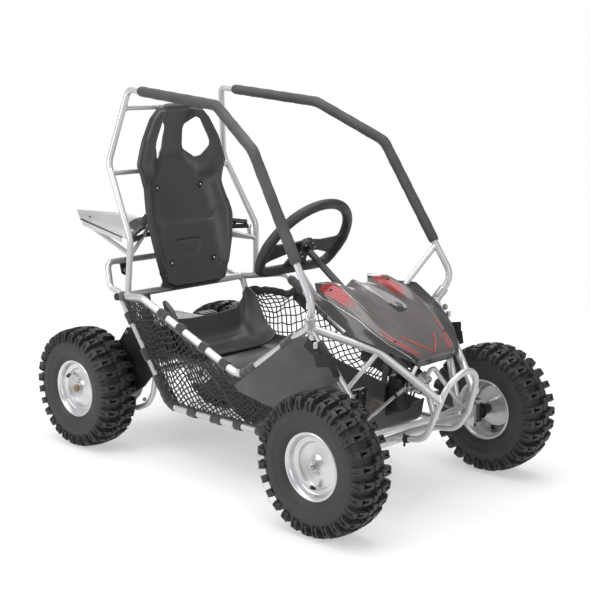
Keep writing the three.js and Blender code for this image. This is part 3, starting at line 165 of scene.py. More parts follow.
def setCamera():
    yaw, pitch, roll = (math.radians(camera[key]) for key in ("yaw", "pitch", "roll"))
    flat = math.cos(pitch)
    ahead = Vector((flat * math.cos(yaw), flat * math.sin(yaw), math.sin(pitch)))
    right = ahead.cross(axisZ).normalized()
    up = right.cross(ahead)
    turnedRight = right * math.cos(roll) + up * math.sin(roll)
    turnedUp = up * math.cos(roll) - right * math.sin(roll)
    data = bpy.data.cameras.new("view")
    data.lens = camera["lens"]
    data.sensor_width = camera["sensor"]
    data.clip_end = camera["reach"]
    made = bpy.data.objects.new("view", data)
    turn = Matrix((turnedRight, turnedUp, -ahead)).transposed()
    made.matrix_world = Matrix.Translation(inMetres(Vector(camera["place"]))) @ turn.to_4x4()
    bpy.context.collection.objects.link(made)
    bpy.context.scene.camera = made


setCamera()


# Materials.
def colour(text):
    channels = [int(text[i : i + 2], 16) / 255 for i in (1, 3, 5)]
    linear = [c / 12.92 if c <= 0.04045 else ((c + 0.055) / 1.055) ** 2.4 for c in channels]
    return (*linear, 1.0)


def node(tree, kind, inputs=None, **settings):
    made = tree.nodes.new(kind)
    for key, value in settings.items():
        setattr(made, key, value)
    for key, value in (inputs or {}).items():
        if isinstance(value, bpy.types.NodeSocket):
            tree.links.new(value, made.inputs[key])
        else:
            made.inputs[key].default_value = value
    return made


def mapped(tree, value, low, high, toLow=0.0, toHigh=1.0):
    inputs = {0: value, 1: low, 2: high, 3: toLow, 4: toHigh}
    return node(tree, "ShaderNodeMapRange", inputs).outputs[0]


def noise(tree, where, size, detail=3.0):
    inputs = {"Vector": where, "Scale": 1 / (size * mm), "Detail": detail}
    return node(tree, "ShaderNodeTexNoise", inputs).outputs["Fac"]


def blended(tree, share, first, second):
    inputs = {0: share, 6: first, 7: second}
    return node(tree, "ShaderNodeMix", inputs, data_type="RGBA").outputs[2]


# The shader's sockets that a look may set, each with its key and its usual value.
lookSockets = {
    "Metallic": ("metal", 0.0), "Coat Weight": ("coat", 0.0),
    "Coat Roughness": ("coatRough", 0.1), "Sheen Weight": ("sheen", 0.0),
}


def surface(name, look, paint=None, relief=None):
    made = bpy.data.materials.new(name)
    made.use_nodes = True
    tree = made.node_tree
    shader = tree.nodes["Principled BSDF"]
    where = node(tree, "ShaderNodeTexCoord").outputs["Object"]
    patches = noise(tree, where, look["patch"])
    spread = mapped(tree, patches, 0.35, 0.65)
    base = blended(tree, spread, colour(look["base"]), colour(look["shade"]))
    if paint:
        base = paint(tree, where, base)
    tree.links.new(base, shader.inputs["Base Color"])
    roughness = mapped(tree, patches, 0.3, 0.7, *look["rough"])
    tree.links.new(roughness, shader.inputs["Roughness"])
    for socket, (key, usual) in lookSockets.items():
        shader.inputs[socket].default_value = look.get(key, usual)
    height = noise(tree, where, look["grain"], 2.0)
    if relief:
        height = relief(tree, where, height)
    bump = node(tree, "ShaderNodeBump", {"Height": height, "Distance": look["depth"] * mm})
    tree.links.new(bump.outputs["Normal"], shader.inputs["Normal"])
    return made


# Silver powder coat on steel tube: fine metal flake under a satin skin with orange peel.
silverPaint = surface("silverPaint", {
    "base": "#c9c9ca", "shade": "#bcbcbe", "patch": 160, "metal": 0.55, "rough": (0.3, 0.38),
    "grain": 2.2, "depth": 0.025, "coat": 0.25,
})
# Silver lacquer on pressed steel wheels, brighter than the frame.
rimPaint = surface("rimPaint", {
    "base": "#d2d2d3", "shade": "#c4c4c6", "patch": 90, "metal": 0.65, "rough": (0.26, 0.34),
    "grain": 1.6, "depth": 0.02, "coat": 0.3,
})
# Black satin enamel on steel brackets and the column.
blackSteel = surface("blackSteel", {
    "base": "#1d1c1d", "shade": "#262525", "patch": 60, "metal": 0.1, "rough": (0.34, 0.46),
    "grain": 1.2, "depth": 0.03, "coat": 0.15,
})
# Bright zinc plate on bolts, axle, sprockets and tie rods.
zincSteel = surface("zincSteel", {
    "base": "#c6c5c3", "shade": "#b4b2af", "patch": 18, "metal": 0.85, "rough": (0.26, 0.4),
    "grain": 0.8, "depth": 0.02,
})
# Yellow passivated zinc on the rear hub nuts.
brassSteel = surface("brassSteel", {
    "base": "#b9a98a", "shade": "#93816a", "patch": 9, "metal": 0.9, "rough": (0.3, 0.45),
    "grain": 0.8, "depth": 0.02,
})
# Matt tyre rubber with a trace of dust.
tyreRubber = surface("tyreRubber", {
    "base": "#262526", "shade": "#2f2d2e", "patch": 45, "rough": (0.5, 0.66),
    "grain": 0.9, "depth": 0.06,
})
# Moulded polypropylene with a fine leather grain.
seatPlastic = surface("seatPlastic", {
    "base": "#3c3a3b", "shade": "#353334", "patch": 140, "rough": (0.34, 0.44),
    "grain": 0.9, "depth": 0.05,
})
# Foam sleeve with a closed, slightly pitted skin.
padFoam = surface("padFoam", {
    "base": "#3f3d3e", "shade": "#373536", "patch": 70, "rough": (0.55, 0.68),
    "grain": 2.4, "depth": 0.16, "sheen": 0.05,
})
# Glossy polyurethane skin of the steering wheel's grip.
gripFoam = surface("gripFoam", {
    "base": "#2b2a2b", "shade": "#232223", "patch": 50, "rough": (0.45, 0.6),
    "grain": 1.1, "depth": 0.08,
})
# Black moulded trim: caps, plugs, blocks and valve caps.
blackTrim = surface("blackTrim", {
    "base": "#0b0b0b", "shade": "#141314", "patch": 25, "rough": (0.5, 0.64),
    "grain": 0.9, "depth": 0.03,
})


# Threads that cross each other, as bump.
def weave(pitch):
    def relief(tree, where, height):
        for direction in ("X", "Z"):
            inputs = {"Vector": where, "Scale": 1 / (pitch * mm * 2), "Distortion": 0.4}
            wave = node(tree, "ShaderNodeTexWave", inputs, bands_direction=direction).outputs["Fac"]
            height = node(tree, "ShaderNodeMath", {0: height, 1: wave}, operation="ADD").outputs[0]
        return height

    return relief


# Woven nylon webbing of the straps and net borders.
webbing = surface("webbing", {
    "base": "#2a292a", "shade": "#3a3839", "patch": 22, "rough": (0.7, 0.85),
    "grain": 1.4, "depth": 0.25, "sheen": 0.35,
}, relief=weave(2.2))
# Braided nylon cord of the side nets.
netCord = surface("netCord", {
    "base": "#191819", "shade": "#242223", "patch": 12, "rough": (0.65, 0.8),
    "grain": 1.2, "depth": 0.3, "sheen": 0.1,
})
# Coated vinyl cloth of the guard panels.
darkVinyl = surface("darkVinyl", {
    "base": "#4a494a", "shade": "#3b3a3b", "patch": 120, "rough": (0.36, 0.5),
    "grain": 1.5, "depth": 0.06, "coat": 0.12,
}, relief=weave(1.2))
# Tub floor: recycled plastic with a mottled bronze cast.
tubFloorPlastic = surface("tubFloorPlastic", {
    "base": "#3a3534", "shade": "#6f6460", "patch": 14, "metal": 0.25, "rough": (0.35, 0.55),
    "grain": 3, "depth": 0.2,
})
# Hood: metallic taupe gloss moulding.
hoodLook = {
    "base": "#5d5856", "shade": "#585351", "patch": 220, "metal": 0.2, "rough": (0.24, 0.3),
    "grain": 0.6, "depth": 0.006, "coat": 0.3, "coatRough": 0.06,
}
hoodTop = surface("hoodTop", hoodLook)
# Dark gloss of the hood's flared sides.
hoodSide = surface("hoodSide", {
    "base": "#2b2a2b", "shade": "#252425", "patch": 150, "metal": 0.1, "rough": (0.2, 0.28),
    "grain": 0.7, "depth": 0.01, "coat": 0.35, "coatRough": 0.06,
})


# Red film printed on the hood: fine dark lines that break up into the hood's own colour ahead.
redFilm = {
    "stripe": 19, "ink": "#9c1f22", "gap": "#35100f", "fadeFrom": 868, "fadeTo": 936, "grit": 5,
}


def redPanel(tree, where, base):
    look = redFilm
    ahead = node(tree, "ShaderNodeSeparateXYZ", {0: where}).outputs[0]
    inputs = {"Vector": where, "Scale": 1 / (look["stripe"] * mm), "Distortion": 0.0}
    lines = node(tree, "ShaderNodeTexWave", inputs, bands_direction="Y").outputs["Fac"]
    ink = mapped(tree, lines, 0.1, 0.34)
    striped = blended(tree, ink, colour(look["gap"]), colour(look["ink"]))
    start, end = (look[key] * mm + axleX for key in ("fadeFrom", "fadeTo"))
    inputs = {0: mapped(tree, ahead, start, end), 1: noise(tree, where, look["grit"], 4.0)}
    worn = node(tree, "ShaderNodeMath", inputs, operation="MULTIPLY").outputs[0]
    return blended(tree, mapped(tree, worn, 0.1, 0.42), striped, base)


redGraphic = surface("redGraphic", hoodLook, paint=redPanel)
# Glossy red pinstripe film on the hood.
redLine = surface("redLine", {
    "base": "#d0484a", "shade": "#bd3c3e", "patch": 30, "rough": (0.2, 0.28),
    "grain": 0.8, "depth": 0.01, "coat": 0.5,
})
# Painted reflection: a grey satin film in the hood's valley stands in for the sky's light reflected
# from its floor.
valleyReflection = surface("valleyReflection", {
    "base": "#a8a5a4", "shade": "#8f8c8b", "patch": 60, "metal": 0.3, "rough": (0.2, 0.3),
    "grain": 0.8, "depth": 0.01, "coat": 0.4,
})
# Painted highlight: glossy silver white film lines along the hood's crest and crease stand in for
# the light caught on those edges.
edgeHighlight = surface("edgeHighlight", {
    "base": "#dcdada", "shade": "#bdbaba", "patch": 40, "metal": 0.2, "rough": (0.2, 0.3),
    "grain": 0.8, "depth": 0.01, "coat": 0.5,
})
print("materials ready")


# A form collects the points and faces of one piece. A mark is the place of a face's material.
class Form:
    def __init__(self):
        self.points, self.faces, self.marks = [], [], []

    def add(self, points, faces, mark=0):
        first = len(self.points)
        self.points += points
        self.faces += [[first + k for k in face] for face in faces]
        self.marks += mark if isinstance(mark, list) else [mark] * len(faces)


def meshOf(name, form, materials, bevel=0.0, angle=32.0, metres=True):
    mesh = bpy.data.meshes.new(name)
    points = [inMetres(p) if metres else p * mm for p in form.points]
    mesh.from_pydata(points, [], form.faces)
    for material in materials:
        mesh.materials.append(material)
    mesh.polygons.foreach_set("material_index", form.marks)
    work = bmesh.new()
    work.from_mesh(mesh)
    bmesh.ops.remove_doubles(work, verts=work.verts, dist=2e-6)
    bmesh.ops.recalc_face_normals(work, faces=work.faces)
    if bevel:
        limit = math.radians(angle)
        sharp = [e for e in work.edges if e.is_manifold and e.calc_face_angle(0.0) > limit]
        bmesh.ops.bevel(
            work, geom=sharp, offset=bevel * mm, segments=2, affect="EDGES", clamp_overlap=True
        )
    work.to_mesh(mesh)
    work.free()
    mesh.shade_smooth()
    mesh.set_sharp_from_angle(angle=math.radians(angle))
    return mesh


def show(name, mesh, body, replaced=()):
    made = bpy.data.objects.new(name, mesh)
    bpy.context.collection.objects.link(made)
    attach(made, body)
    if replaced:
        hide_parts(*replaced)
    return made


def piece(name, form, body, materials, replaced=(), bevel=0.0, angle=32.0):
    return show(name, meshOf(name, form, materials, bevel, angle), body, replaced)


# Shapes: what follows, up to the frame, gives paths, outlines and closed forms.
def lerp(a, b, share):
    return a + (b - a) * share


# A path through corners, bent round at each with a radius as far as the runs beside it allow.
bendRoom = 0.476


def bentPath(corners, bend, step=math.radians(8)):
    path = [corners[0].copy()]
    for before, corner, after in zip(corners, corners[1:], corners[2:]):
        into, out = corner - before, after - corner
        room = bendRoom * min(into.length, out.length)
        into.normalize()
        out.normalize()
        turn = into.angle(out)
        if turn < 1e-3:
            continue
        reach = min(bend * math.tan(turn / 2), room)
        radius = reach / math.tan(turn / 2)
        axis = into.cross(out).normalized()
        start = corner - into * reach
        centre = start + axis.cross(into) * radius
        count = max(2, math.ceil(turn / step))
        for k in range(count + 1):
            path.append(centre + Quaternion(axis, turn * k / count) @ (start - centre))
    path.append(corners[-1].copy())
    return path


def square(axis):
    other = axisZ if abs(axis.z) < 0.9 else axisX
    side = axis.cross(other).normalized()
    return side, axis.cross(side).normalized()


def ring(radius, count=24, start=0.0):
    turns = [start + math.tau * k / count for k in range(count)]
    return [(radius * math.cos(t), radius * math.sin(t)) for t in turns]


# Points on an arc about a place, from one angle to another, in equal steps.
def arc(radius, start, end, count, middle=(0, 0), first=0):
    turns = [lerp(start, end, k / count) for k in range(first, count + 1 - first)]
    return [(middle[0] + radius * math.cos(t), middle[1] + radius * math.sin(t)) for t in turns]


# Faces between rings of points that follow each other in a list.
def bandFaces(count, size, bands, steps):
    faces = []
    for k in range(bands):
        here, onward = k * size, (k + 1) % count * size
        for j in range(steps):
            follow = (j + 1) % size
            faces.append((here + j, here + follow, onward + follow, onward + j))
    return faces


def tangentsOf(path, closed=False):
    count = len(path)
    found = []
    for k in range(count):
        before = path[k - 1] if closed or k else path[k]
        after = path[(k + 1) % count] if closed or k < count - 1 else path[k]
        found.append((after - before).normalized())
    return found


def sweep(form, path, section, closed=False, mark=0):
    count = len(path)
    tangents = tangentsOf(path, closed)
    side = square(tangents[0])[0]
    points = []
    for k in range(count):
        if k:
            side = tangents[k - 1].rotation_difference(tangents[k]) @ side
            side = (side - tangents[k] * side.dot(tangents[k])).normalized()
        up = tangents[k].cross(side)
        outline = section(k) if callable(section) else section
        points += [path[k] + side * a + up * b for a, b in outline]
    size = len(outline)
    faces = bandFaces(count, size, count if closed else count - 1, size)
    if not closed:
        faces.append(tuple(range(size))[::-1])
        faces.append(tuple(range((count - 1) * size, count * size)))
    form.add(points, faces, mark)


def tube(form, corners, diameter, bend=None, sides=20, mark=0):
    path = bentPath(corners, 3 * diameter if bend is None else bend)
    sweep(form, path, ring(diameter / 2, sides), mark=mark)
    return path


def lathe(form, outline, centre, axis, sides=48, closed=False, mark=0, start=0.0):
    side, up = square(axis)
    points = []
    for a, b in ring(1.0, sides, start):
        arm = side * a + up * b
        points += [centre + axis * along + arm * radius for radius, along in outline]
    size = len(outline)
    form.add(points, bandFaces(sides, size, sides, size if closed else size - 1), mark)


# An outline of radii and places along an axis, with its mirror image.
def doubled(outline):
    return outline + [(r, -a) for r, a in outline[::-1]]


def drum(form, radius, length, axis, centre, sides=32, chamfer=0.8, mark=0, rise=None, start=0.0):
    half = length / 2
    rise = chamfer if rise is None else rise
    outline = doubled([(0, -half), (radius - chamfer, -half), (radius, rise - half)])
    lathe(form, outline, centre, axis, sides, mark=mark, start=start)


def hexagon(form, radius, length, axis, centre, mark=0):
    drum(form, radius, length, axis, centre, 6, radius * 0.1, mark, 0.9, 0.3)


# A turned collar, open through its middle, with a chamfer of 1 mm at both outer edges.
def collar(form, inner, outer, half, centre, axis, sides=32):
    outline = doubled([(inner, -half), (outer - 1, -half), (outer, 1 - half)])
    lathe(form, outline, centre, axis, sides, closed=True)


# A bolt's hexagon head on its washer.
def bolt(form, place, axis, size=5.0, mark=0):
    drum(form, size * 1.05, 1.4, axis, place + axis * 0.7, 20, 0.3, mark)
    hexagon(form, size * 0.95, size * 0.7, axis, place + axis * (1.4 + size * 0.35), mark)


# A round headed screw with a socket in its head.
def screw(form, place, axis, radius=4.0, mark=0):
    dome = [(0, 0.25 * radius), (0.42 * radius, 0.25 * radius), (0.45 * radius, 0.7 * radius)]
    dome += [(0.75 * radius, 0.55 * radius), (radius, 0.15 * radius), (radius, -0.6), (0, -0.6)]
    lathe(form, dome, place, axis, 20, mark=mark)


def block(form, size, centre, axes=(axisX, axisY, axisZ), mark=0):
    corners = []
    for k in range(8):
        signs = [1 if k >> n & 1 else -1 for n in range(3)]
        arms = [axis * way * length / 2 for axis, way, length in zip(axes, signs, size)]
        corners.append(centre + sum(arms, Vector()))
    faces = [(0, 1, 3, 2), (4, 6, 7, 5), (0, 4, 5, 1), (2, 3, 7, 6), (0, 2, 6, 4), (1, 5, 7, 3)]
    form.add(corners, faces, mark)


def plate(form, outline, thickness, origin, right, up, holes=(), mark=0):
    depth = right.cross(up).normalized() * thickness / 2
    loops = [list(outline)] + [list(hole) for hole in holes]
    flat = [origin + right * a + up * b for loop in loops for a, b in loop]
    triangles = tessellate_polygon([[Vector((a, b, 0)) for a, b in loop] for loop in loops])
    count = len(flat)
    faces = [tuple(t) for t in triangles] + [tuple(k + count for k in t) for t in triangles]
    first = 0
    for loop in loops:
        size = len(loop)
        for j in range(size):
            a, b = first + j, first + (j + 1) % size
            faces.append((a, b, b + count, a + count))
        first += size
    form.add([p + depth for p in flat] + [p - depth for p in flat], faces, mark)


# A value from a row of knots, straight between them and round at each.
def eased(values, t, soft):
    k = min(max(int(round(t)), 0), len(values) - 1)
    if 0 < k < len(values) - 1 and abs(t - k) < soft:
        a = lerp(values[k], values[k - 1], soft)
        b = lerp(values[k], values[k + 1], soft)
        s = (t - k + soft) / (2 * soft)
        return a * (1 - s) ** 2 + values[k] * (2 * s * (1 - s)) + b * s**2
    low = min(max(int(t), 0), len(values) - 2)
    return lerp(values[low], values[low + 1], t - low)


def easedRows(rows, perRow, perColumn, softRow=0.5, softColumn=0.5):
    tall = [k / perRow for k in range((len(rows) - 1) * perRow + 1)]
    wide = [k / perColumn for k in range((len(rows[0]) - 1) * perColumn + 1)]
    columns = list(zip(*rows))
    middle = [[eased(column, t, softRow) for column in columns] for t in tall]
    return [[eased(row, t, softColumn) for t in wide] for row in middle]


def mirrored(half):
    return [Vector((p.x, -p.y, p.z)) for p in half[:0:-1]] + half


# A closed sheet behind a front of points and faces, as thick as its wall says.
def closeSheet(form, front, faces, wall, marks=None, mark=0):
    normals = [Vector() for _ in front]
    for face in faces:
        a, b, c = (front[k] for k in face[:3])
        normal = (b - a).cross(c - a)
        for k in face:
            normals[k] += normal
    walls = wall if isinstance(wall, list) else [wall] * len(front)
    back = [p - n.normalized() * depth for p, n, depth in zip(front, normals, walls)]
    count = len(front)
    runs = set()
    for face in faces:
        runs.update(zip(face, face[1:] + face[:1]))
    made = [list(face) for face in faces]
    found = list(marks) if marks else [mark] * len(faces)
    made += [[k + count for k in face[::-1]] for face in faces]
    found += found[:]
    for a, b in sorted(runs):
        if (b, a) not in runs:
            made.append([b, a, a + count, b + count])
            found.append(mark)
    form.add(front + back, made, found)


def gridFaces(rows):
    wide = len(rows[0])
    firsts = [i * wide + j for i in range(len(rows) - 1) for j in range(wide - 1)]
    return [[a, a + wide, a + wide + 1, a + 1] for a in firsts]


def gridSheet(form, rows, wall, markOf=None, mark=0):
    marks = None
    if markOf:
        marks = [markOf(i, j) for i in range(len(rows) - 1) for j in range(len(rows[0]) - 1)]
    closeSheet(form, [p for row in rows for p in row], gridFaces(rows), wall, marks, mark)


def inside(point, loop):
    x, y = point
    odd = False
    for (ax, ay), (bx, by) in zip(loop, loop[1:] + loop[:1]):
        if (ay > y) != (by > y) and x < (bx - ax) * (y - ay) / (by - ay) + ax:
            odd = not odd
    return odd


def distanceTo(point, line):
    best = 1e9
    p = Vector(point)
    for a, b in zip(line, line[1:]):
        a, b = Vector(a), Vector(b)
        run = b - a
        share = min(max((p - a).dot(run) / max(run.length_squared, 1e-9), 0), 1)
        best = min(best, (p - a - run * share).length)
    return best


# A closed loop with its corners rounded, in steps of 15 degrees.
def roundLoop(loop, radius):
    corners = [Vector((a, b, 0)) for a, b in loop]
    start = (corners[0] + corners[-1]) / 2
    path = bentPath([start, *corners, start], radius, math.radians(15))[:-1]
    return [(p.x, p.y) for p in path]


def spaced(loop, spacing):
    made = []
    for (ax, ay), (bx, by) in zip(loop, loop[1:] + loop[:1]):
        count = max(1, int(math.hypot(bx - ax, by - ay) / spacing))
        made += [(lerp(ax, bx, k / count), lerp(ay, by, k / count)) for k in range(count)]
    return made


# A sheet from its plan: an outline with holes, filled with small triangles and laid on a surface.
def planSheet(form, outline, holes, spacing, laidOn, wall, mark=0, strips=()):
    loops = [spaced(loop, spacing) for loop in (outline, *holes)]
    points, edges = [], []
    for loop in loops:
        first = len(points)
        points += [Vector(p) for p in loop]
        edges += [(first + k, first + (k + 1) % len(loop)) for k in range(len(loop))]
    lows = [min(p[n] for p in loops[0]) for n in (0, 1)]
    highs = [max(p[n] for p in loops[0]) for n in (0, 1)]
    rings = [loop + loop[:1] for loop in loops]
    reach = max(strips, default=0)
    outer = loops[0]
    for depth in strips:
        for before, p, after in zip(outer[-1:] + outer[:-1], outer, outer[1:] + outer[:1]):
            along = (Vector(after) - Vector(before)).normalized()
            for side in (1, -1):
                inner = Vector((p[0] - along.y * side * depth, p[1] + along.x * side * depth))
                if inside(inner, outer) and distanceTo(inner, rings[0]) > depth * 0.93:
                    points.append(inner)
    for i in range(int((highs[0] - lows[0]) / spacing) + 1):
        for j in range(int((highs[1] - lows[1]) / spacing) + 1):
            p = (lows[0] + (i + 0.5 * (j % 2)) * spacing, lows[1] + j * spacing)
            if not inside(p, loops[0]) or any(inside(p, loop) for loop in loops[1:]):
                continue
            near = [distanceTo(p, line) for line in rings]
            if near[0] > reach + spacing * 0.55 and min(near) > spacing * 0.55:
                points.append(Vector(p))
    found, _, faces, *_ = delaunay_2d_cdt(points, edges, [], 0, 1e-4)
    walls = [wall(p.x, p.y) if callable(wall) else wall for p in found]
    kept = []
    for face in faces:
        middle = sum((found[k] for k in face), Vector((0, 0))) / len(face)
        if inside(middle, loops[0]) and not any(inside(middle, loop) for loop in loops[1:]):
            kept.append(list(face))
    closeSheet(form, [laidOn(p.x, p.y) for p in found], kept, walls, mark=mark)


# A weld bead round a tube's end, where it meets the tube that it is welded to.
bead = {"start": 60, "beads": 28, "radius": 2.1, "ripple": 0.35}


def weldEnd(form, run, radius, other):
    end, away = run[0], towards(run[0], run[1])
    first, second, otherRadius = other
    along = towards(first, second)
    side, up = square(away)
    path = []
    for a, b in ring(radius + 0.4, bead["beads"]):
        start = end + away * bead["start"] + side * a + up * b
        offset = start - first
        flat = offset - along * offset.dot(along)
        way = -away + along * away.dot(along)
        steep = way.length_squared
        lean = flat.dot(way)
        root = lean * lean - steep * (flat.length_squared - (otherRadius + 0.3) ** 2)
        reach = (-lean - math.sqrt(max(root, 0.0))) / steep
        path.append(start - away * reach)

    def section(k):
        return ring(bead["radius"] + bead["ripple"] * (k % 2), 8)

    sweep(form, path, section, closed=True)


def towards(a, b):
    return (b - a).normalized()


# Geometry trees: each takes a mesh and a material, and ends in real, coated geometry.
def treeWith(name, **sockets):
    tree = bpy.data.node_groups.new(name, "GeometryNodeTree")
    tree.interface.new_socket("Geometry", in_out="OUTPUT", socket_type="NodeSocketGeometry")
    for label, kind in {"Geometry": "Geometry", **sockets, "Material": "Material"}.items():
        tree.interface.new_socket(label, in_out="INPUT", socket_type="NodeSocket" + kind)
    return tree, tree.nodes.new("NodeGroupInput").outputs


def endTree(tree, geometry, given):
    real = node(tree, "GeometryNodeRealizeInstances", {"Geometry": geometry}).outputs[0]
    inputs = {"Geometry": real, "Material": given["Material"]}
    coated = node(tree, "GeometryNodeSetMaterial", inputs).outputs[0]
    tree.links.new(coated, tree.nodes.new("NodeGroupOutput").inputs[0])
    return tree


# Copies of a shape, turned about the Y axis in equal steps and moved to a centre.
def ringTree():
    tree, given = treeWith("ringOfCopies", Count="Int", Centre="Vector")
    points = node(tree, "GeometryNodePoints", {"Count": given["Count"]}).outputs[0]
    index = node(tree, "GeometryNodeInputIndex").outputs[0]
    inputs = {0: index, 1: given["Count"]}
    share = node(tree, "ShaderNodeMath", inputs, operation="DIVIDE").outputs[0]
    turn = node(tree, "ShaderNodeMath", {0: share, 1: math.tau}, operation="MULTIPLY").outputs[0]
    euler = node(tree, "ShaderNodeCombineXYZ", {"Y": turn}).outputs[0]
    rotation = node(tree, "FunctionNodeEulerToRotation", {0: euler}).outputs[0]
    inputs = {"Points": points, "Instance": given["Geometry"], "Rotation": rotation}
    copies = node(tree, "GeometryNodeInstanceOnPoints", inputs).outputs[0]
    inputs = {"Geometry": copies, "Translation": given["Centre"]}
    return endTree(tree, node(tree, "GeometryNodeTransform", inputs).outputs[0], given)


# Round cords along the edges of a mesh.
def cordTree():
    tree, given = treeWith("cordsOnEdges", Radius="Float", Sides="Int")
    curve = node(tree, "GeometryNodeMeshToCurve", {0: given["Geometry"]}).outputs[0]
    inputs = {"Resolution": given["Sides"], "Radius": given["Radius"]}
    profile = node(tree, "GeometryNodeCurvePrimitiveCircle", inputs).outputs[0]
    inputs = {"Curve": curve, "Profile Curve": profile, "Fill Caps": True}
    return endTree(tree, node(tree, "GeometryNodeCurveToMesh", inputs).outputs[0], given)


# Copies of a shape along an edge path, each turned to the path.
def linkTree():
    tree, given = treeWith("linksOnPath", Shape="Object", Count="Int")
    curve = node(tree, "GeometryNodeMeshToCurve", {0: given["Geometry"]}).outputs[0]
    inputs = {"Curve": curve, "Count": given["Count"]}
    even = node(tree, "GeometryNodeResampleCurve", inputs).outputs[0]
    tangent = {"Vector": node(tree, "GeometryNodeInputTangent").outputs[0]}
    aim = node(tree, "FunctionNodeAlignRotationToVector", tangent, axis="X", pivot_axis="Y")
    shape = node(tree, "GeometryNodeObjectInfo", {"Object": given["Shape"]}).outputs["Geometry"]
    inputs = {"Points": even, "Instance": shape, "Rotation": aim.outputs[0]}
    return endTree(tree, node(tree, "GeometryNodeInstanceOnPoints", inputs).outputs[0], given)


def grow(name, mesh, tree, values):
    base = bpy.data.objects.new(name + "Base", mesh)
    bpy.context.collection.objects.link(base)
    modifier = base.modifiers.new("grow", "NODES")
    modifier.node_group = tree
    for item in tree.interface.items_tree:
        if item.in_out == "INPUT" and item.name in values:
            modifier[item.identifier] = values[item.name]
    graph = bpy.context.evaluated_depsgraph_get()
    made = bpy.data.meshes.new_from_object(base.evaluated_get(graph))
    bpy.data.objects.remove(base)
    made.name = name
    made.shade_smooth()
    made.set_sharp_from_angle(angle=math.radians(35))
    return made


copiesInRing, cordsOnEdges, linksOnPath = ringTree(), cordTree(), linkTree()


# The frame's tubes, and the front beam with its yokes, which hold the kingpins.
frameTube, cageTube, loopTube = 20.0, 18.0, 16.0
frameRadius, cageRadius, loopRadius = frameTube / 2, cageTube / 2, loopTube / 2
railRun = ["crossCorner", "railBend", "railLow", "cageFoot"]
floorRun = ["crossCorner", "downLow", "floorRear", "floorMiddle", "floorFront"]
postRun = ["cageFoot", "postMiddle", "postFoot"]
loopRun = ["loopFoot", "loopLow", "loopSide", "loopShoulder"]
yoke = {"middle": 249.5, "reach": 30.5, "pin": 275, "wide": 13, "thick": 9}
socketRadius = 13.5
roofPad = {"radius": 14.5, "spacing": 9.0, "bend": 54, "reach": 0.74}


# A place on the front axle's line, by its distance from the middle.
def onBeam(y, up=0.0):
    return Vector((wheelbase, y, axleHeight + up))


crossAxis = (*across(["crossEnd"]), frameRadius)
beamAxis = (onBeam(-246), onBeam(246), 12.5)


def painted(name, form, replaced, extra=(), bevel=0.0, angle=32.0):
    coats = [silverPaint, *extra]
    return piece(name, form, "frame", coats, [replaced], bevel, angle)


# A normal of length one that points to the kart's own side.
def facing(normal, sign):
    normal = normal.normalized()
    return -normal if normal.y * sign < 0 else normal


def cageRuns(sign):
    top, roofRear = spots(["hoopTop", "roofRear"], sign)
    ahead = (roofRear - top).normalized()
    joint = top + ahead * 40
    hoop = spots(["hoopFoot", "hoopLow", "hoopMiddle", "hoopTop"], sign) + [joint]
    bow, foot = spots(["cageBow", "cageFoot"], sign)
    rise = (bow - foot).normalized()
    roof = [joint + ahead * 0.3, roofRear, spot("roofFront", sign), bow, foot + rise * 8.3]
    return hoop, roof, rise, foot


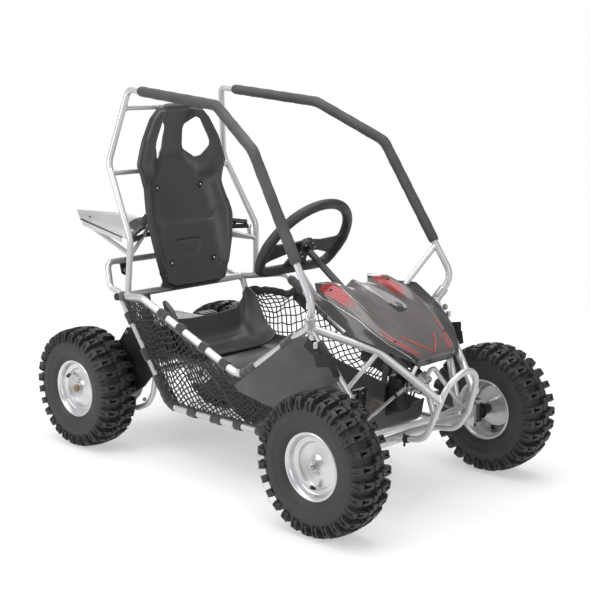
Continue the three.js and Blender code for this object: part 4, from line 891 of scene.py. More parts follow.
def frameSide(side, sign):
    hoop, roof, rise, foot = cageRuns(sign)
    corner, bend, low, _ = spots(railRun, sign)
    rail = Form()
    tube(rail, [corner, bend, low, foot - towards(low, foot) * 4], frameTube)
    weldEnd(rail, [corner, bend], frameRadius, crossAxis)
    painted(f"railPaint_{side}", rail, f"side_rail_{side}")

    floorRail, floor = Form(), spots(floorRun, sign)
    tube(floorRail, floor, frameTube)
    weldEnd(floorRail, floor, frameRadius, crossAxis)
    weldEnd(floorRail, floor[::-1], frameRadius, beamAxis)
    painted(f"floorRailPaint_{side}", floorRail, f"floor_rail_{side}")

    post, posts = Form(), spots(postRun, sign)
    tube(post, posts, frameTube)
    weldEnd(post, posts[::-1], frameRadius, beamAxis)
    socket = [(9.4, 42), (12.6, 42), (socketRadius, 41), (socketRadius, 1), (12.6, 0), (0, 0)]
    lathe(post, socket + [(0, 8), (9.4, 8)], foot, rise, 32)
    socketAxis = (foot, foot + rise, socketRadius)
    weldEnd(post, posts, frameRadius, socketAxis)
    outward = facing(rise.cross(axisX), sign)
    bolt(post, foot + rise * 28 + outward * 13, outward, 6, 1)
    painted(f"postPaint_{side}", post, f"front_post_{side}", [zincSteel])

    front, run = Form(), spots(["cageFoot", "tubeBend", "tubeEnd"], sign)
    tube(front, run, frameTube)
    gusset = spots(["tubeBend", "gussetFoot"], sign)
    tube(front, gusset, 12, sides=16)
    weldEnd(front, gusset, 6, (run[0], run[1], frameRadius))
    tube(front, spots(["hoodTabFoot", "hoodTabTop"], sign), 10, sides=14)
    weldEnd(front, run, frameRadius, socketAxis)
    weldEnd(front, run[::-1], frameRadius, (*spots(["loopSide", "loopShoulder"], sign), loopRadius))
    painted(f"frontTubePaint_{side}", front, f"front_tube_{side}")

    hoopForm, roofForm = Form(), Form()
    tube(hoopForm, hoop, cageTube)
    weldEnd(hoopForm, hoop, cageRadius, (corner, bend, frameRadius))
    painted(f"hoopPaint_{side}", hoopForm, f"rear_hoop_{side}")
    tube(roofForm, roof, cageTube)
    painted(f"roofPaint_{side}", roofForm, f"roof_tube_{side}")

    pad, radius = Form(), roofPad["radius"]
    start, rear, ahead, bow = roof[:4]
    path = [start + towards(start, rear) * radius, rear, ahead, lerp(ahead, bow, roofPad["reach"])]
    path = evenly(bentPath(path, roofPad["bend"]), roofPad["spacing"])
    last = len(path) - 1

    def padSection(k):
        edge = min(k, last - k) * roofPad["spacing"]
        swell = 0.35 * math.sin(k * 0.9) + 0.2 * math.sin(k * 2.3)
        return ring(radius + swell - 2.6 * math.exp(-edge / 4), 26)

    sweep(pad, path, padSection)
    made = piece(f"roofPadFoam_{side}", pad, "frame", [padFoam], [f"roof_pad_{side}"])


def evenly(path, spacing):
    made = [path[0].copy()]
    for a, b in zip(path, path[1:]):
        count = max(1, round((b - a).length / spacing))
        made += [a.lerp(b, k / count) for k in range(1, count + 1)]
    return made


for sideName, sideSign in sides.items():
    frameSide(sideName, sideSign)
print("frame sides ready")


def frameMiddle():
    bumper = Form()
    run = spots(loopRun, 1) + [spot("loopTop")] + spots(loopRun, -1)[::-1]
    tube(bumper, run, loopTube, 64)
    for ends in (run, run[::-1]):
        weldEnd(bumper, ends, loopRadius, beamAxis)
    painted("bumperPaint", bumper, "bumper_loop")

    rear = Form()
    tube(rear, across(["crossEnd"]), frameTube)
    tube(rear, across(["rearLoopFoot", "rearLoopLow", "rearLoopTop"]), cageTube, 24)
    for sign in (1, -1):
        weldEnd(rear, spots(["rearLoopFoot", "rearLoopLow"], sign), cageRadius, crossAxis)
        end = spot("crossEnd", sign)
        drum(rear, 10.6, 6, axisY, end + axisY * sign * 1.5, 28, 1.6, 1)
    painted("rearLoopPaint", rear, "rear_loop", [blackTrim])

    upper = Form()
    tube(upper, across(["upperBar"]), loopTube)
    for sign in (1, -1):
        weldBar(upper, "upperBar", sign, ["hoopMiddle", "hoopTop"])
    painted("upperBarPaint", upper, "upper_cross_bar")

    axle = Form()
    middle, reach, wide, thick = (yoke[key] for key in ("middle", "reach", "wide", "thick"))
    tube(axle, [onBeam(-middle), onBeam(middle)], 25, sides=28)
    brace = [onBeam(middle, reach), spot("braceApex"), onBeam(-middle, reach)]
    tube(axle, brace, loopTube, 60)
    ear = [(-wide, -4.5), (wide, -4.5), (wide, 26)]
    ear += arc(wide, 0, math.pi, 8, (0, 26), 1) + [(-wide, 26)]
    for sign in (1, -1):
        centre = onBeam(sign * middle)
        block(axle, (26, thick, 70), centre)
        for way in (-1, 1):
            plate(axle, ear, thick, centre + axisZ * way * reach, axisX, axisY * sign)
        pin = onBeam(sign * yoke["pin"])
        drum(axle, 6.5, 66, axisZ, pin, 20, 0.6, 1)
        for way in (1, -1):
            hexagon(axle, 10.5, 7, axisZ, pin + axisZ * way * 31.5, 1)
    painted("axleBeamPaint", axle, "front_axle", [zincSteel], 0.9)


# The weld at one end of a bar between the hoops.
def weldBar(form, name, sign, hoopNames):
    end = spot(name, sign)
    weldEnd(form, [end, end - axisY * sign], loopRadius, (*spots(hoopNames, sign), cageRadius))


frameMiddle()


# Steering column line.
columnStart, columnEnd = spot("wheelHub"), spot("columnFoot")
columnAxis = towards(columnStart, columnEnd)
columnUp = columnAxis.cross(axisY)
columnLength = (columnEnd - columnStart).length


def onColumn(along, up=0.0, out=0.0):
    return columnStart + columnAxis * along + columnUp * up + axisY * out


def dashAndBracket():
    dash = Form()
    tube(dash, across(["dashJoin", "dashBar"]), loopTube, 32)
    bar = spot("dashBar")
    centre = onColumn((bar.x - columnStart.x) / columnAxis.x)
    collar(dash, 9.9, 15, 12, centre, columnAxis)
    tube(dash, [centre + columnUp * -12, Vector((bar.x, 0, bar.z))], loopTube)
    painted("dashHoopPaint", dash, "dash_hoop")

    bracket = Form()
    middle, apex = onColumn(columnLength - 6.5), spot("braceApex")
    collar(bracket, 10, 16, 13, middle, columnAxis)
    tube(bracket, [middle + towards(middle, apex) * 14, apex], loopTube, 16)
    strutFoot = apex.lerp(onBeam(yoke["middle"], yoke["reach"]), 0.72)
    tube(bracket, [middle + columnUp * 14, middle + columnUp * 45, strutFoot], 12, 12)
    bolt(bracket, columnEnd + columnAxis, columnAxis, 7, 1)
    painted("columnBracketPaint", bracket, "column_bracket", [zincSteel])


dashAndBracket()


# The seat back: height share, place ahead, width share and wing share of each level.
seatBackTable = [
    (0.328, 0.188, 0.67, 0),
    (0.413, 0.162, 0.8, 0.5),
    (0.487, 0.145, 0.89, 0.8),
    (0.571, 0.124, 0.96, 1),
    (0.674, 0.101, 0.86, 0.84),
    (0.718, 0.094, 0.92, 0.95),
    (0.752, 0.088, 1, 1),
    (0.833, 0.096, 0.86, 0.8),
    (0.9, 0.112, 0.66, 0.4),
    (0.942, 0.126, 0.44, 0.1),
]
seatBack = {
    "halfWidth": 168.0,
    "wing": 52.0,
    "wall": 4.0,
    "lift": [(0, 0), (0.3, 0), (0.5, 0.01), (0.62, 0.08), (0.76, 0.28), (0.88, 0.62), (1, 1)],
    "headLift": [(0, 0), (0.3, 0.02), (0.46, 0.2), (0.6, 0.66), (0.7, 0.86), (0.85, 0.95), (1, 1)],
    "creaseHigh": [(-150, 704), (-104, 657), (-97, 653), (97, 653), (104, 657), (150, 704)],
    "creaseLow": [(-136, 508), (-94, 524), (94, 524), (136, 508)],
    "recess": [(-50, 588), (-38, 602), (38, 602), (50, 588), (28, 554), (-28, 554)],
    "recessSlot": [(-45, 595), (-37, 602), (37, 602), (45, 595)],
    "holes": [(-85, 756), (85, 756), (-83, 538), (83, 538)],
    "opening": [
        (60, 961), (72, 954), (103, 890), (104, 876), (84, 844), (70, 840), (41, 866), (38, 880),
        (34, 924), (37, 938),
    ],
}


def tableAt(table, key, column, soft=0.5):
    keys = [row[0] for row in table]
    low = max(0, min(sum(k <= key for k in keys) - 1, len(keys) - 2))
    t = low + (key - keys[low]) / (keys[low + 1] - keys[low])
    return eased([row[column] for row in table], t, soft)


def smoothStep(value):
    value = min(max(value, 0.0), 1.0)
    return value * value * (3 - 2 * value)


# The depth of a soft groove at a distance from its middle.
def groove(away, depth, width):
    return depth * math.exp(-((away / width) ** 2))


# A column of the seat back's table at a height.
def seatBackAt(z, column, soft=0.5):
    return tableAt(seatBackTable, (z - axleHeight) / cageSpan, column, soft)


def seatBackPoint(out, z):
    ahead = seatBackAt(z, 1) * wheelbase
    wing = seatBackAt(z, 3, 0.2)
    share = min(abs(out), 1)
    upper = smoothStep((z - 750) / 90)
    lift = lerp(tableAt(seatBack["lift"], share, 1), tableAt(seatBack["headLift"], share, 1), upper)
    y = out * seatBackAt(z, 2, 0.16) * seatBack["halfWidth"]
    depth = 0.0
    for crease in (seatBack["creaseHigh"], seatBack["creaseLow"]):
        depth += groove(distanceTo((y, z), crease), 3.4, 3.2)
    recess = seatBack["recess"]
    if inside((y, z), recess):
        depth += 3.4 * smoothStep(distanceTo((y, z), recess + recess[:1]) / 3.5)
    depth += groove(distanceTo((y, z), seatBack["recessSlot"]), 7, 3.6)
    for hole in seatBack["holes"]:
        depth += 4.0 * smoothStep((8.5 - math.hypot(y - hole[0], z - hole[1])) / 3)
    head = smoothStep((z - 800) / 60) * smoothStep((1010 - z) / 60)
    head *= 1 - smoothStep((abs(y) - 36) / 34)
    return Vector((ahead + wing * lift * seatBack["wing"] - depth - 15 * head, y, z))


def makeSeatBack():
    form = Form()
    lowest, highest = level(seatBackTable[0][0]), level(seatBackTable[-1][0])
    steps, scale = 44, seatBack["halfWidth"]
    rightEdge = [(1.0, lerp(lowest + 16, highest - 6, k / steps)) for k in range(steps + 1)]
    outline = [(-0.72, lowest), (0.72, lowest)] + rightEdge + [(0.6, highest), (-0.6, highest)]
    outline += [(-a, z) for a, z in rightEdge[::-1]]
    outline = roundLoop([(a * scale, z) for a, z in outline], 14)
    edge = outline + outline[:1]

    # The plan is stretched to the same width at all heights, so places on it are stretched too.
    def widthAt(z):
        return seatBackAt(z, 2, 0.16)

    def laid(a, z):
        turned = 9 * smoothStep((13 - distanceTo((a, z), edge)) / 9)
        return seatBackPoint(a / scale, z) - axisX * turned

    def wall(a, z):
        return seatBack["wall"] + 8 * smoothStep((9 - distanceTo((a, z), edge)) / 4)

    opening = [(y / widthAt(z), z) for y, z in seatBack["opening"]]
    holes = [roundLoop([(a * sign, z) for a, z in opening], 7) for sign in (1, -1)]
    planSheet(form, outline, holes, 6.0, laid, wall, strips=(2.5, 5, 7.5, 10, 13))
    fixing = [(0, 4.6), (7.4, 4.6), (8.6, 5.6), (9.6, 4.6), (9.6, -1), (0, -1)]
    for y, z in seatBack["holes"]:
        base = seatBackPoint(y / scale / widthAt(z), z)
        lathe(form, fixing, base, axisX, 24, mark=1)
        screw(form, base + axisX * 5, axisX, 4, 2)
    coats = [seatPlastic, blackTrim, zincSteel]
    piece("seatBackShell", form, "frame", coats, ["seat_back"], 0, 40)


makeSeatBack()
print("seat back ready")


# Two straps behind the seat back and the bar that they hang on.
carrier = {"out": 83, "wide": 26, "thick": 5}


def makeSeatCarrier():
    form = Form()
    tube(form, across(["middleBar"]), loopTube)
    middle, cross = spot("middleBar"), spot("crossCorner")
    face = [(middle.x + 8, middle.z)]
    for share in (0.94, 0.8, 0.67, 0.55, 0.45, 0.35, 0.27, 0.2):
        z = lerp(cross.z, middle.z, share)
        face.append((seatBackAt(z, 1) * wheelbase - 5.4, z))
    face.append((cross.x + 2.5, cross.z))
    face += [(x - carrier["thick"], z) for x, z in face[::-1]]
    for sign in (1, -1):
        weldBar(form, "middleBar", sign, ["hoopLow", "hoopMiddle"])
        plate(form, face, carrier["wide"], axisY * sign * carrier["out"], axisX, axisZ)
        for share in (0.86, 0.31):
            z = lerp(cross.z, middle.z, share)
            x = seatBackAt(z, 1) * wheelbase - 10.5
            bolt(form, Vector((x, sign * carrier["out"], z)), -axisX, 5, 1)
    painted("seatCarrierPaint", form, "seat_carrier", [zincSteel], 0.5)


makeSeatCarrier()

# The floor tub: place ahead, floor height, floor width, wall height and wall width of each row.
tubTable = [
    (0.2, 0.124, 0.64, 0.145, 0.66),
    (0.4, 0.124, 0.64, 0.15, 0.68),
    (0.57, -0.0108, 0.727, 0.09, 0.742),
    (0.69, -0.0108, 0.727, 0.06, 0.742),
    (0.84, -0.0108, 0.56, 0.05, 0.58),
    (0.915, -0.0108, 0.48, 0.05, 0.5),
    (0.925, 0.055, 0.47, 0.06, 0.48),
]
tubFloor = level(0.124)
trayZ = tubFloor - 12.3
pedals = {"brake_pedal": 48.0, "throttle_pedal": -92.0}
pedalX, pedalZ = 0.886 * wheelbase, level(-0.0108) + 19
# Ribs along the tub's floor, between two places ahead.
ribs = {"from": 590, "to": 905, "out": 118, "pitch": 26, "high": 0.9}


def makeTub():
    form = Form()
    rows = []
    for x, floor, width, top, topWidth in tubTable:
        half = [placeAt(x, out * width, floor) for out in (0, 0.5, 0.9)]
        half += [placeAt(x, width * 0.985, floor) + axisZ * 5, placeAt(x, topWidth, top)]
        rows.append(mirrored(half))
    rows = easedRows(rows, 12, 6, 0.28, 0.4)
    last = len(rows) - 1

    def ribbed(p):
        if not ribs["from"] < p.x < ribs["to"] or abs(p.y) >= ribs["out"]:
            return p
        wave = 0.5 + 0.5 * math.cos(p.y * math.tau / ribs["pitch"])
        return p + axisZ * ribs["high"] * wave**4

    rows = [[ribbed(p) for p in row] for row in rows]
    gridSheet(form, rows, 4, lambda i, j: 1 if 0.5 < i / last < 0.86 and 6 < j < 42 else 0)
    for out in pedals.values():
        for way in (-1, 1):
            block(form, (16, 4, 33), Vector((pedalX, out + way * 17.6, pedalZ - 7)), mark=2)
        drum(form, 4, 42, axisY, Vector((pedalX, out, pedalZ)), 16, 0.5, 3)
    coats = [seatPlastic, tubFloorPlastic, blackSteel, zincSteel]
    piece("tubShell", form, "frame", coats, ["floor_tub"], 0, 38)


makeTub()

# The seat base: place ahead, and height in the middle and at the wing of each row.
seatBaseTable = [
    (0.22, 0.104, 0.181),
    (0.234, 0.035, 0.176),
    (0.259, 0.006, 0.156),
    (0.307, 0, 0.065),
    (0.35, 0.005, 0.035),
]
seatBaseAcross = [(0, 0), (0.42, 0), (0.8, 0.1), (0.92, 0.55), (1, 1)]
seatBaseCrease = [(300, -120), (252, -96), (252, 96), (300, 120)]


def makeSeatBase():
    form = Form()
    pan = tubFloor + 4.3
    rows = []
    for x, middle, wing in seatBaseTable:
        half = []
        for out, lift in seatBaseAcross:
            z = pan + lerp(middle, wing, lift) * cageSpan
            half.append(Vector((x * wheelbase, out * 160, z)))
        rows.append(mirrored(half))
    rows = easedRows(rows, 12, 8, 0.26, 0.24)

    def creased(p):
        return p - axisZ * groove(distanceTo((p.x, p.y), seatBaseCrease), 1.8, 3)

    rows = [[creased(p) for p in row] for row in rows]
    wide = len(rows[0])
    walls = []
    for i in range(len(rows)):
        near = [min(j, wide - 1 - j, 2 * i) for j in range(wide)]
        walls += [4 + 7 * smoothStep((4 - steps) / 3) for steps in near]
    gridSheet(form, rows, walls)
    for y in (-48, 48):
        base = Vector((330, y, pan + 1.4))
        lathe(form, [(0, 0.2), (6, 0.2), (7, 1), (7, -0.5), (0, -0.5)], base, axisZ, 20, mark=1)
    strap = roundLoop([(-30, -5), (30, -5), (30, 5), (-30, 5)], 4)
    plate(form, strap, 1.4, Vector((340, 0, pan + 2.4)), axisY, -axisX, mark=1)
    coats = [seatPlastic, blackTrim]
    piece("seatBaseShell", form, "frame", coats, ["seat_base"], 0, 40)


makeSeatBase()
print("tub and seat base ready")


# The hood: shares of each place, row by row from the dash to the nose and from the middle out.
hoodTable = [
    [(0.792, 0, 0.437), (0.804, 0.159, 0.419), (0.777, 0.265, 0.436), (0.7505, 0.367, 0.432),
     (0.792, 0.495, 0.413), (0.844, 0.71, 0.403)],
    [(0.837, 0, 0.4305), (0.834, 0.159, 0.4155), (0.82, 0.265, 0.434), (0.814, 0.367, 0.442),
     (0.8475, 0.523, 0.395), (0.867, 0.714, 0.3855)],
    [(0.886, 0, 0.403), (0.884, 0.159, 0.396), (0.884, 0.283, 0.396), (0.886, 0.396, 0.411),
     (0.896, 0.537, 0.367), (0.921, 0.7, 0.349)],
    [(0.9515, 0, 0.364), (0.9485, 0.159, 0.361), (0.9455, 0.29, 0.359), (0.9425, 0.396, 0.3625),
     (0.9425, 0.523, 0.342), (0.965, 0.65, 0.314)],
    [(1.016, 0, 0.314), (1.012, 0.141, 0.3165), (1.005, 0.254, 0.315), (0.998, 0.346, 0.312),
     (0.985, 0.459, 0.3095), (1.012, 0.54, 0.29)],
    [(1.079, 0, 0.26), (1.078, 0.1, 0.259), (1.077, 0.17, 0.2565), (1.076, 0.226, 0.254),
     (1.074, 0.2685, 0.252), (1.075, 0.311, 0.244)],
    [(1.072, 0, 0.229), (1.071, 0.1, 0.228), (1.069, 0.17, 0.2265), (1.067, 0.219, 0.2265),
     (1.065, 0.254, 0.2275), (1.065, 0.283, 0.23)],
]
# Films on the hood, with a painted reflection in its valley: each one's mark, then its outline as
# seen from above.
hoodFilms = {
    "redNear": (0, [
        (790, -122), (800, -106), (826, -99), (858, -104), (895, -113), (930, -117), (941, -124),
        (908, -133), (879, -138), (829, -136),
    ]),
    "redFar": (0, [
        (800, 74), (813, 88), (845, 95), (880, 97), (904, 93), (918, 76), (909, 59), (867, 60),
        (835, 55),
    ]),
    # Painted reflection: the pale valley film stands in for light reflected from the valley's
    # floor.
    "valley": (4, [
        (812, -14), (822, 0), (847, 8), (887, 32), (922, 47), (949, 43), (958, 24), (948, 2),
        (929, -8), (881, -16), (841, -19),
    ]),
    "slot": (3, [(932, -13), (929, 20), (940, 34), (960, 30), (966, 4), (963, -12)]),
}
# Pin stripes on the hood, and painted highlight lines along its crest and crease (mark 2): mark,
# width and line as seen from above.
hoodLines = [
    # Painted highlights: the next two lines stand in for light on the crest and the crease.
    (2, 1.6, [(792, -76), (840, -98), (891, -113), (942, -104)]),
    (2, 1.1, [(828, -154), (902, -147), (970, -136), (1024, -119), (1082, -88)]),
    (1, 2.0, [(986, -114), (1017, -98), (1048, -81), (1078, -64)]),
    (1, 1.4, [(1000, -115), (1026, -101), (1052, -87), (1074, -76)]),
    (1, 2.0, [(1021, -78), (1053, -51), (1084, -17)]),
    (1, 2.0, [(1033, 44), (1063, 18), (1084, -14)]),
    (1, 2.0, [(985, 103), (1018, 96), (1052, 75), (1080, 52)]),
    (1, 1.6, [(1026, 99), (1052, 88), (1067, 78), (1080, 54)]),
    (1, 1.6, [(1046, 50), (1064, 52), (1079, 50)]),
]
hoodScrews = [(831, -120), (846, 88), (1025, -98), (1027, 96)]
filmWall = 0.9


def makeHood():
    form = Form()
    rows = [mirrored([placeAt(*share) for share in row]) for row in hoodTable]
    rows = easedRows(rows, 10, 8, 0.3, 0.15)
    middle = len(rows[0]) // 2

    def markOf(i, j):
        out = abs(j - middle)
        return 1 if out > 29 or i > len(rows) - 8 or i < 4 and out > 12 else 0

    gridSheet(form, rows, 3, markOf)
    piece("hoodShell", form, "frame", [hoodTop, hoodSide], ["hood"], 0, 34)
    search = BVHTree.FromPolygons([p for row in rows for p in row], gridFaces(rows))

    def down(x, y, rise):
        found, normal, _, _ = search.ray_cast(Vector((x, y, 2000)), -axisZ)
        if found is None:
            found, normal, _, _ = search.find_nearest(Vector((x, y, level(0.42))))
        return found + (-normal if normal.z < 0 else normal) * rise

    film = Form()
    for mark, loop in hoodFilms.values():
        planSheet(film, roundLoop(loop, 6), [], 5.0, lambda x, y: down(x, y, 0.5), filmWall, mark)
    for mark, width, line in hoodLines:
        points = evenly(bentPath([Vector((x, y, 0)) for x, y in line], 60), 5)
        last = len(points) - 1
        left, right = [], []
        for k, (p, way) in enumerate(zip(points, tangentsOf(points))):
            half = width / 2 * min(1.0, 0.25 + 0.25 * min(k, last - k))
            out = Vector((-way.y, way.x, 0)) * half
            left.append(down(p.x + out.x, p.y + out.y, 0.55))
            right.append(down(p.x - out.x, p.y - out.y, 0.55))
        faces = [[k, k + 1, last + 2 + k, last + 1 + k] for k in range(last)]
        closeSheet(film, left + right, faces, filmWall, mark=mark)
    # Marks 2 and 4 carry painted highlights and a painted reflection.
    films = [redGraphic, redLine, edgeHighlight, blackTrim, valleyReflection]
    piece("hoodFilms", film, "frame", films)
    screws = Form()
    for x, y in hoodScrews:
        place = down(x, y, 0)
        screw(screws, place, towards(place, down(x, y, 1)), 4.2)
    piece("hoodScrews", screws, "frame", [blackSteel])


makeHood()
print("hood ready")


# The tail panel: distance out, front and rear edge, and height of the crown, all as shares.
tailTable = [
    (0, 0.1, -0.4, 0.038), (0.3, 0.1, -0.385, 0.032), (0.55, 0.105, -0.362, 0.006),
    (0.85, 0.15, -0.345, 0),
]
tailRows = [1, 0.72, 0.4, 0.15, 0]
tail = {"edge": 0.522, "taper": 0.14, "flatten": 0.55}
# Folds under the panel's sides: which points, lean inwards, drops, wall and mark.
tailFolds = [(slice(3, -4), 0.02, (6, 10, 15, 21), 2, 0), (slice(2, -2), 0.012, (2.5, 4, 6), 3, 1)]
tailHook = [(160, 228, 633), (107, 146, 646), (90, 121, 658), (76, 99, 674)]
tailClip = [(-17, 4), (17, 4), (14, -30), (4, -38), (-10, -30)]


def makeTail():
    form = Form()
    rows = []
    for share in tailRows:
        narrow, low = lerp(tail["taper"], 1, share), lerp(tail["flatten"], 1, share)
        half = []
        for out, front, rear, crown in tailTable:
            half.append(placeAt(lerp(rear, front, share), out * narrow, tail["edge"] + crown * low))
        rows.append(mirrored(half)[::-1])
    rows = easedRows(rows, 8, 8, 0.5, 0.3)
    gridSheet(form, rows, 4)
    wide = len(rows[0])
    for edge in (0, wide - 1):
        line = [row[edge] for row in rows]
        for part, lean, drops, wall, mark in tailFolds:
            fold = [[p + Vector((0, -lean * p.y, -drop)) for p in line[part]] for drop in drops]
            gridSheet(form, fold, wall, mark=mark)
    lathe(form, [(0, 0.7), (7, 0.7), (8, -1), (0, -1)], Vector((-279, -38, 639)), axisZ, 24, mark=1)
    middle = wide // 2
    for columns in (slice(middle + 4, middle + 17), slice(middle - 16, middle - 3)):
        patch = [[p + axisZ * 0.9 for p in row[columns]] for row in rows[2:8]]
        gridSheet(form, patch, 1.2, mark=1)
    painted("tailPanelPaint", form, "tail_panel", [blackTrim], 0, 34)

    under = Form()
    tube(under, across(["tailBarEnd", "tailBarTurn"]), 14, 28, mark=1)
    tube(under, across(["tailStrutFoot", "tailStrutTip"]), 14, 28)
    tube(under, across(["tailStrutFoot", "tailBraceTop"]), 12, 24)
    for sign in (1, -1):
        foot, tip, end = spots(["tailStrutFoot", "tailStrutTip", "tailBarEnd"], sign)
        below = foot.lerp(tip, (foot.x - end.x) / (foot.x - tip.x))
        tube(under, [below, end], 12)
        weldEnd(under, [foot, tip], 7, (*spots(["hoopFoot", "hoopLow"], sign), cageRadius))
        for base, top in ((spot("tailBraceTop", sign), 652), (tip, 628)):
            middle = Vector((base.x, base.y, (base.z + top) / 2))
            drum(under, 6, top - base.z, axisZ, middle, 20)
        way = towards(end, spot("tailBarTurn", sign))
        hook = bentPath([Vector((x, sign * y, z)) for x, y, z in tailHook], 12)
        sweep(under, hook, [(10 * a, 7 * b) for a, b in ring(1.0, 14)], mark=1)
        drum(under, 5, 26, axisZ, hook[0].lerp(hook[-1], 0.25) - axisZ * 16, 16, 0.8, 1)
        bolt(under, end - way * 4, -way, 5.5, 2)
        clipAt = spot("rearLoopTop", sign) + Vector((0, -sign * 62, -9))
        plate(under, tailClip, 5, clipAt, axisY, axisZ, mark=1)
        drum(under, 7, 14, axisX, clipAt - axisZ * 20, 20, 0.8, 2)
    painted("tailFramePaint", under, "tail_frame", [blackTrim, zincSteel], 0.6)


makeTail()

# Axle hangers, each with its cradle tube and its bearing.
hangerShares = [
    (-0.043, 0), (-0.03, 0.06), (0.063, 0.14), (0.113, 0.212), (0.17, 0.212), (0.236, 0.07),
    (0.212, 0.055), (0.183, 0.02), (0.112, -0.03), (0, -0.053), (-0.03, -0.045),
]
cradleShares = [
    (0.238, 0.77, 0.067), (0.219, 0.75, 0.002), (0.193, 0.745, -0.039), (0.146, 0.745, -0.063),
    (0, 0.745, -0.063),
]
hangerY = 214
# Bolts of each hanger: share ahead, distance out from the plate and share of the height.
hangerBolts = [(0.113, 3, 0.195), (0.165, 3, 0.195), (196 / wheelbase, 8, -0.02)]


def makeHanger(side, sign):
    form = Form()
    loop = roundLoop([(x * wheelbase, level(z)) for x, z in hangerShares], 10)
    plate(form, loop, 6, axisY * sign * hangerY, axisX, axisZ)
    centre = Vector((0, sign * hangerY, axleHeight))
    collar(form, 30.3, 36, 7, centre, axisY, 40)
    tube(form, [placeAt(x, sign * y, z) for x, y, z in cradleShares], loopTube, 48, mark=1)
    for x, out, z in hangerBolts:
        place = Vector((x * wheelbase, sign * (hangerY + out), level(z)))
        bolt(form, place, axisY * sign, 6, 2)
    for a, b in ring(33, 4, math.pi / 4):
        screw(form, centre + Vector((a, sign * 7, b)), axisY * sign, 2.4, 2)
    coats = [blackSteel, silverPaint, zincSteel]
    piece(f"hangerPaint_{side}", form, "frame", coats, [f"axle_hanger_{side}"], 0.5)
    race = Form()
    outline = [(12.8, -7), (17, -7), (18, -5.4), (25, -5.4), (26, -7), (29, -7), (30, -6)]
    lathe(race, doubled(outline), centre, axisY, 40, closed=True)
    piece(f"bearingRace_{side}", race, "frame", [zincSteel], [f"axle_bearing_{side}"])


for sideName, sideSign in sides.items():
    makeHanger(sideName, sideSign)
print("tail and hangers ready")

# Tyres: the carcass as radius and distance out, and knobs in pitches round it.
treadPitches = 28
treadRadius = 177.5
carcass = [
    (76.5, 38), (78, 40.5), (84, 41.5), (86, 43.5), (90, 46.5), (96, 49.8), (97, 50.8),
    (98.5, 50.9), (100, 51.2), (108, 53.2), (118, 54.8), (119, 55.5), (120.5, 55.4), (122, 55.2),
    (131, 55.6), (140, 54), (148, 50.5), (154, 45), (158.4, 37), (161, 27), (162.4, 14),
    (162.8, 0),
]


# A place on the tyre, from its distance round the tread, its distance out and its radius.
def wrap(s, w, r):
    turn = s / treadRadius
    return Vector((r * math.sin(turn), w, r * math.cos(turn)))


# The radius of the tread's crown at a distance out.
def crown(w):
    return treadRadius - 0.4 - 0.0022 * w * w


# A knob of tread: a loop drawn on the tyre, raised from its foot to the crown with a soft edge.
def lug(form, loop, foot, draft=0.9):
    middle = [sum(p[n] for p in loop) / len(loop) for n in (0, 1)]
    narrow = [tuple(lerp(m, c, draft) for m, c in zip(middle, p)) for p in loop]
    soft = [tuple(lerp(a, b, 0.35) for a, b in zip(p, q)) for p, q in zip(narrow, loop)]
    points = [wrap(s, w, foot) for s, w in loop]
    points += [wrap(s, w, crown(w) - 1.1) for s, w in soft]
    points += [wrap(s, w, crown(w)) for s, w in narrow]
    size = len(loop)
    top, foot = (tessellate_polygon([[Vector((*p, 0)) for p in line]]) for line in (narrow, loop))
    faces = bandFaces(3, size, 2, size) + [tuple(k + 2 * size for k in t) for t in top]
    form.add(points, faces + [tuple(t)[::-1] for t in foot])


# A rib down the tyre's shoulder: a profile of distances out and radii, between its two flanks.
def rib(form, profile, middle, width, topWidth):
    size = len(profile)
    points = []
    for way in (-1, 1):
        for k, (w, r) in enumerate(profile):
            half = (topWidth if k < size - 3 else width) / 2
            points.append(wrap(middle + way * half, w, r))
    faces = [(j, (j + 1) % size, (j + 1) % size + size, j + size) for j in range(size)]
    cap = tessellate_polygon([[Vector((w, r, 0)) for w, r in profile]])
    faces += [tuple(t) for t in cap] + [tuple(k + size for k in t)[::-1] for t in cap]
    form.add(points, faces)


treadShapes = {
    "paddle": [
        (-9.5, 18), (-6.5, 13), (6.5, 15), (10, 21), (10.5, 40), (4, 41.5), (3.2, 30), (0, 25),
        (-3.2, 30), (-4, 41.5), (-10.5, 40),
    ],
    "middle": [
        (-10, -4), (-3, -6.5), (9, -3), (11, 4), (8.5, 10.5), (1.5, 12), (0, 6.5), (-4, 11),
        (-9, 8),
    ],
    "tie": [(-3.4, 38), (3.4, 38), (3.4, 48), (-3.4, 48)],
    "spine": [(46, 171.2), (51.5, 169.4), (53.4, 167), (54, 158), (48, 154), (44.5, 160)],
    "finger": [
        (50, 170), (53.6, 167.4), (57.6, 160.5), (59.4, 152), (58.8, 145), (56.4, 139.5),
        (53, 142), (47, 152), (46, 160),
    ],
    "web": [(50, 160), (55, 155.5), (56.8, 149), (55.6, 143.5), (50, 146), (46, 154)],
}
# Ribs of each pitch: shape, distance along the tread, width at the foot and at the top.
treadRibs = [
    ("spine", 0, 20, 18.6), ("finger", -7.4, 5.4, 4.2), ("finger", 7.4, 5.4, 4.2),
    ("web", 0, 13, 12),
]
boxFaces = [(0, 1, 2, 3), (7, 6, 5, 4), (0, 4, 5, 1), (1, 5, 6, 2), (2, 6, 7, 3), (3, 7, 4, 0)]


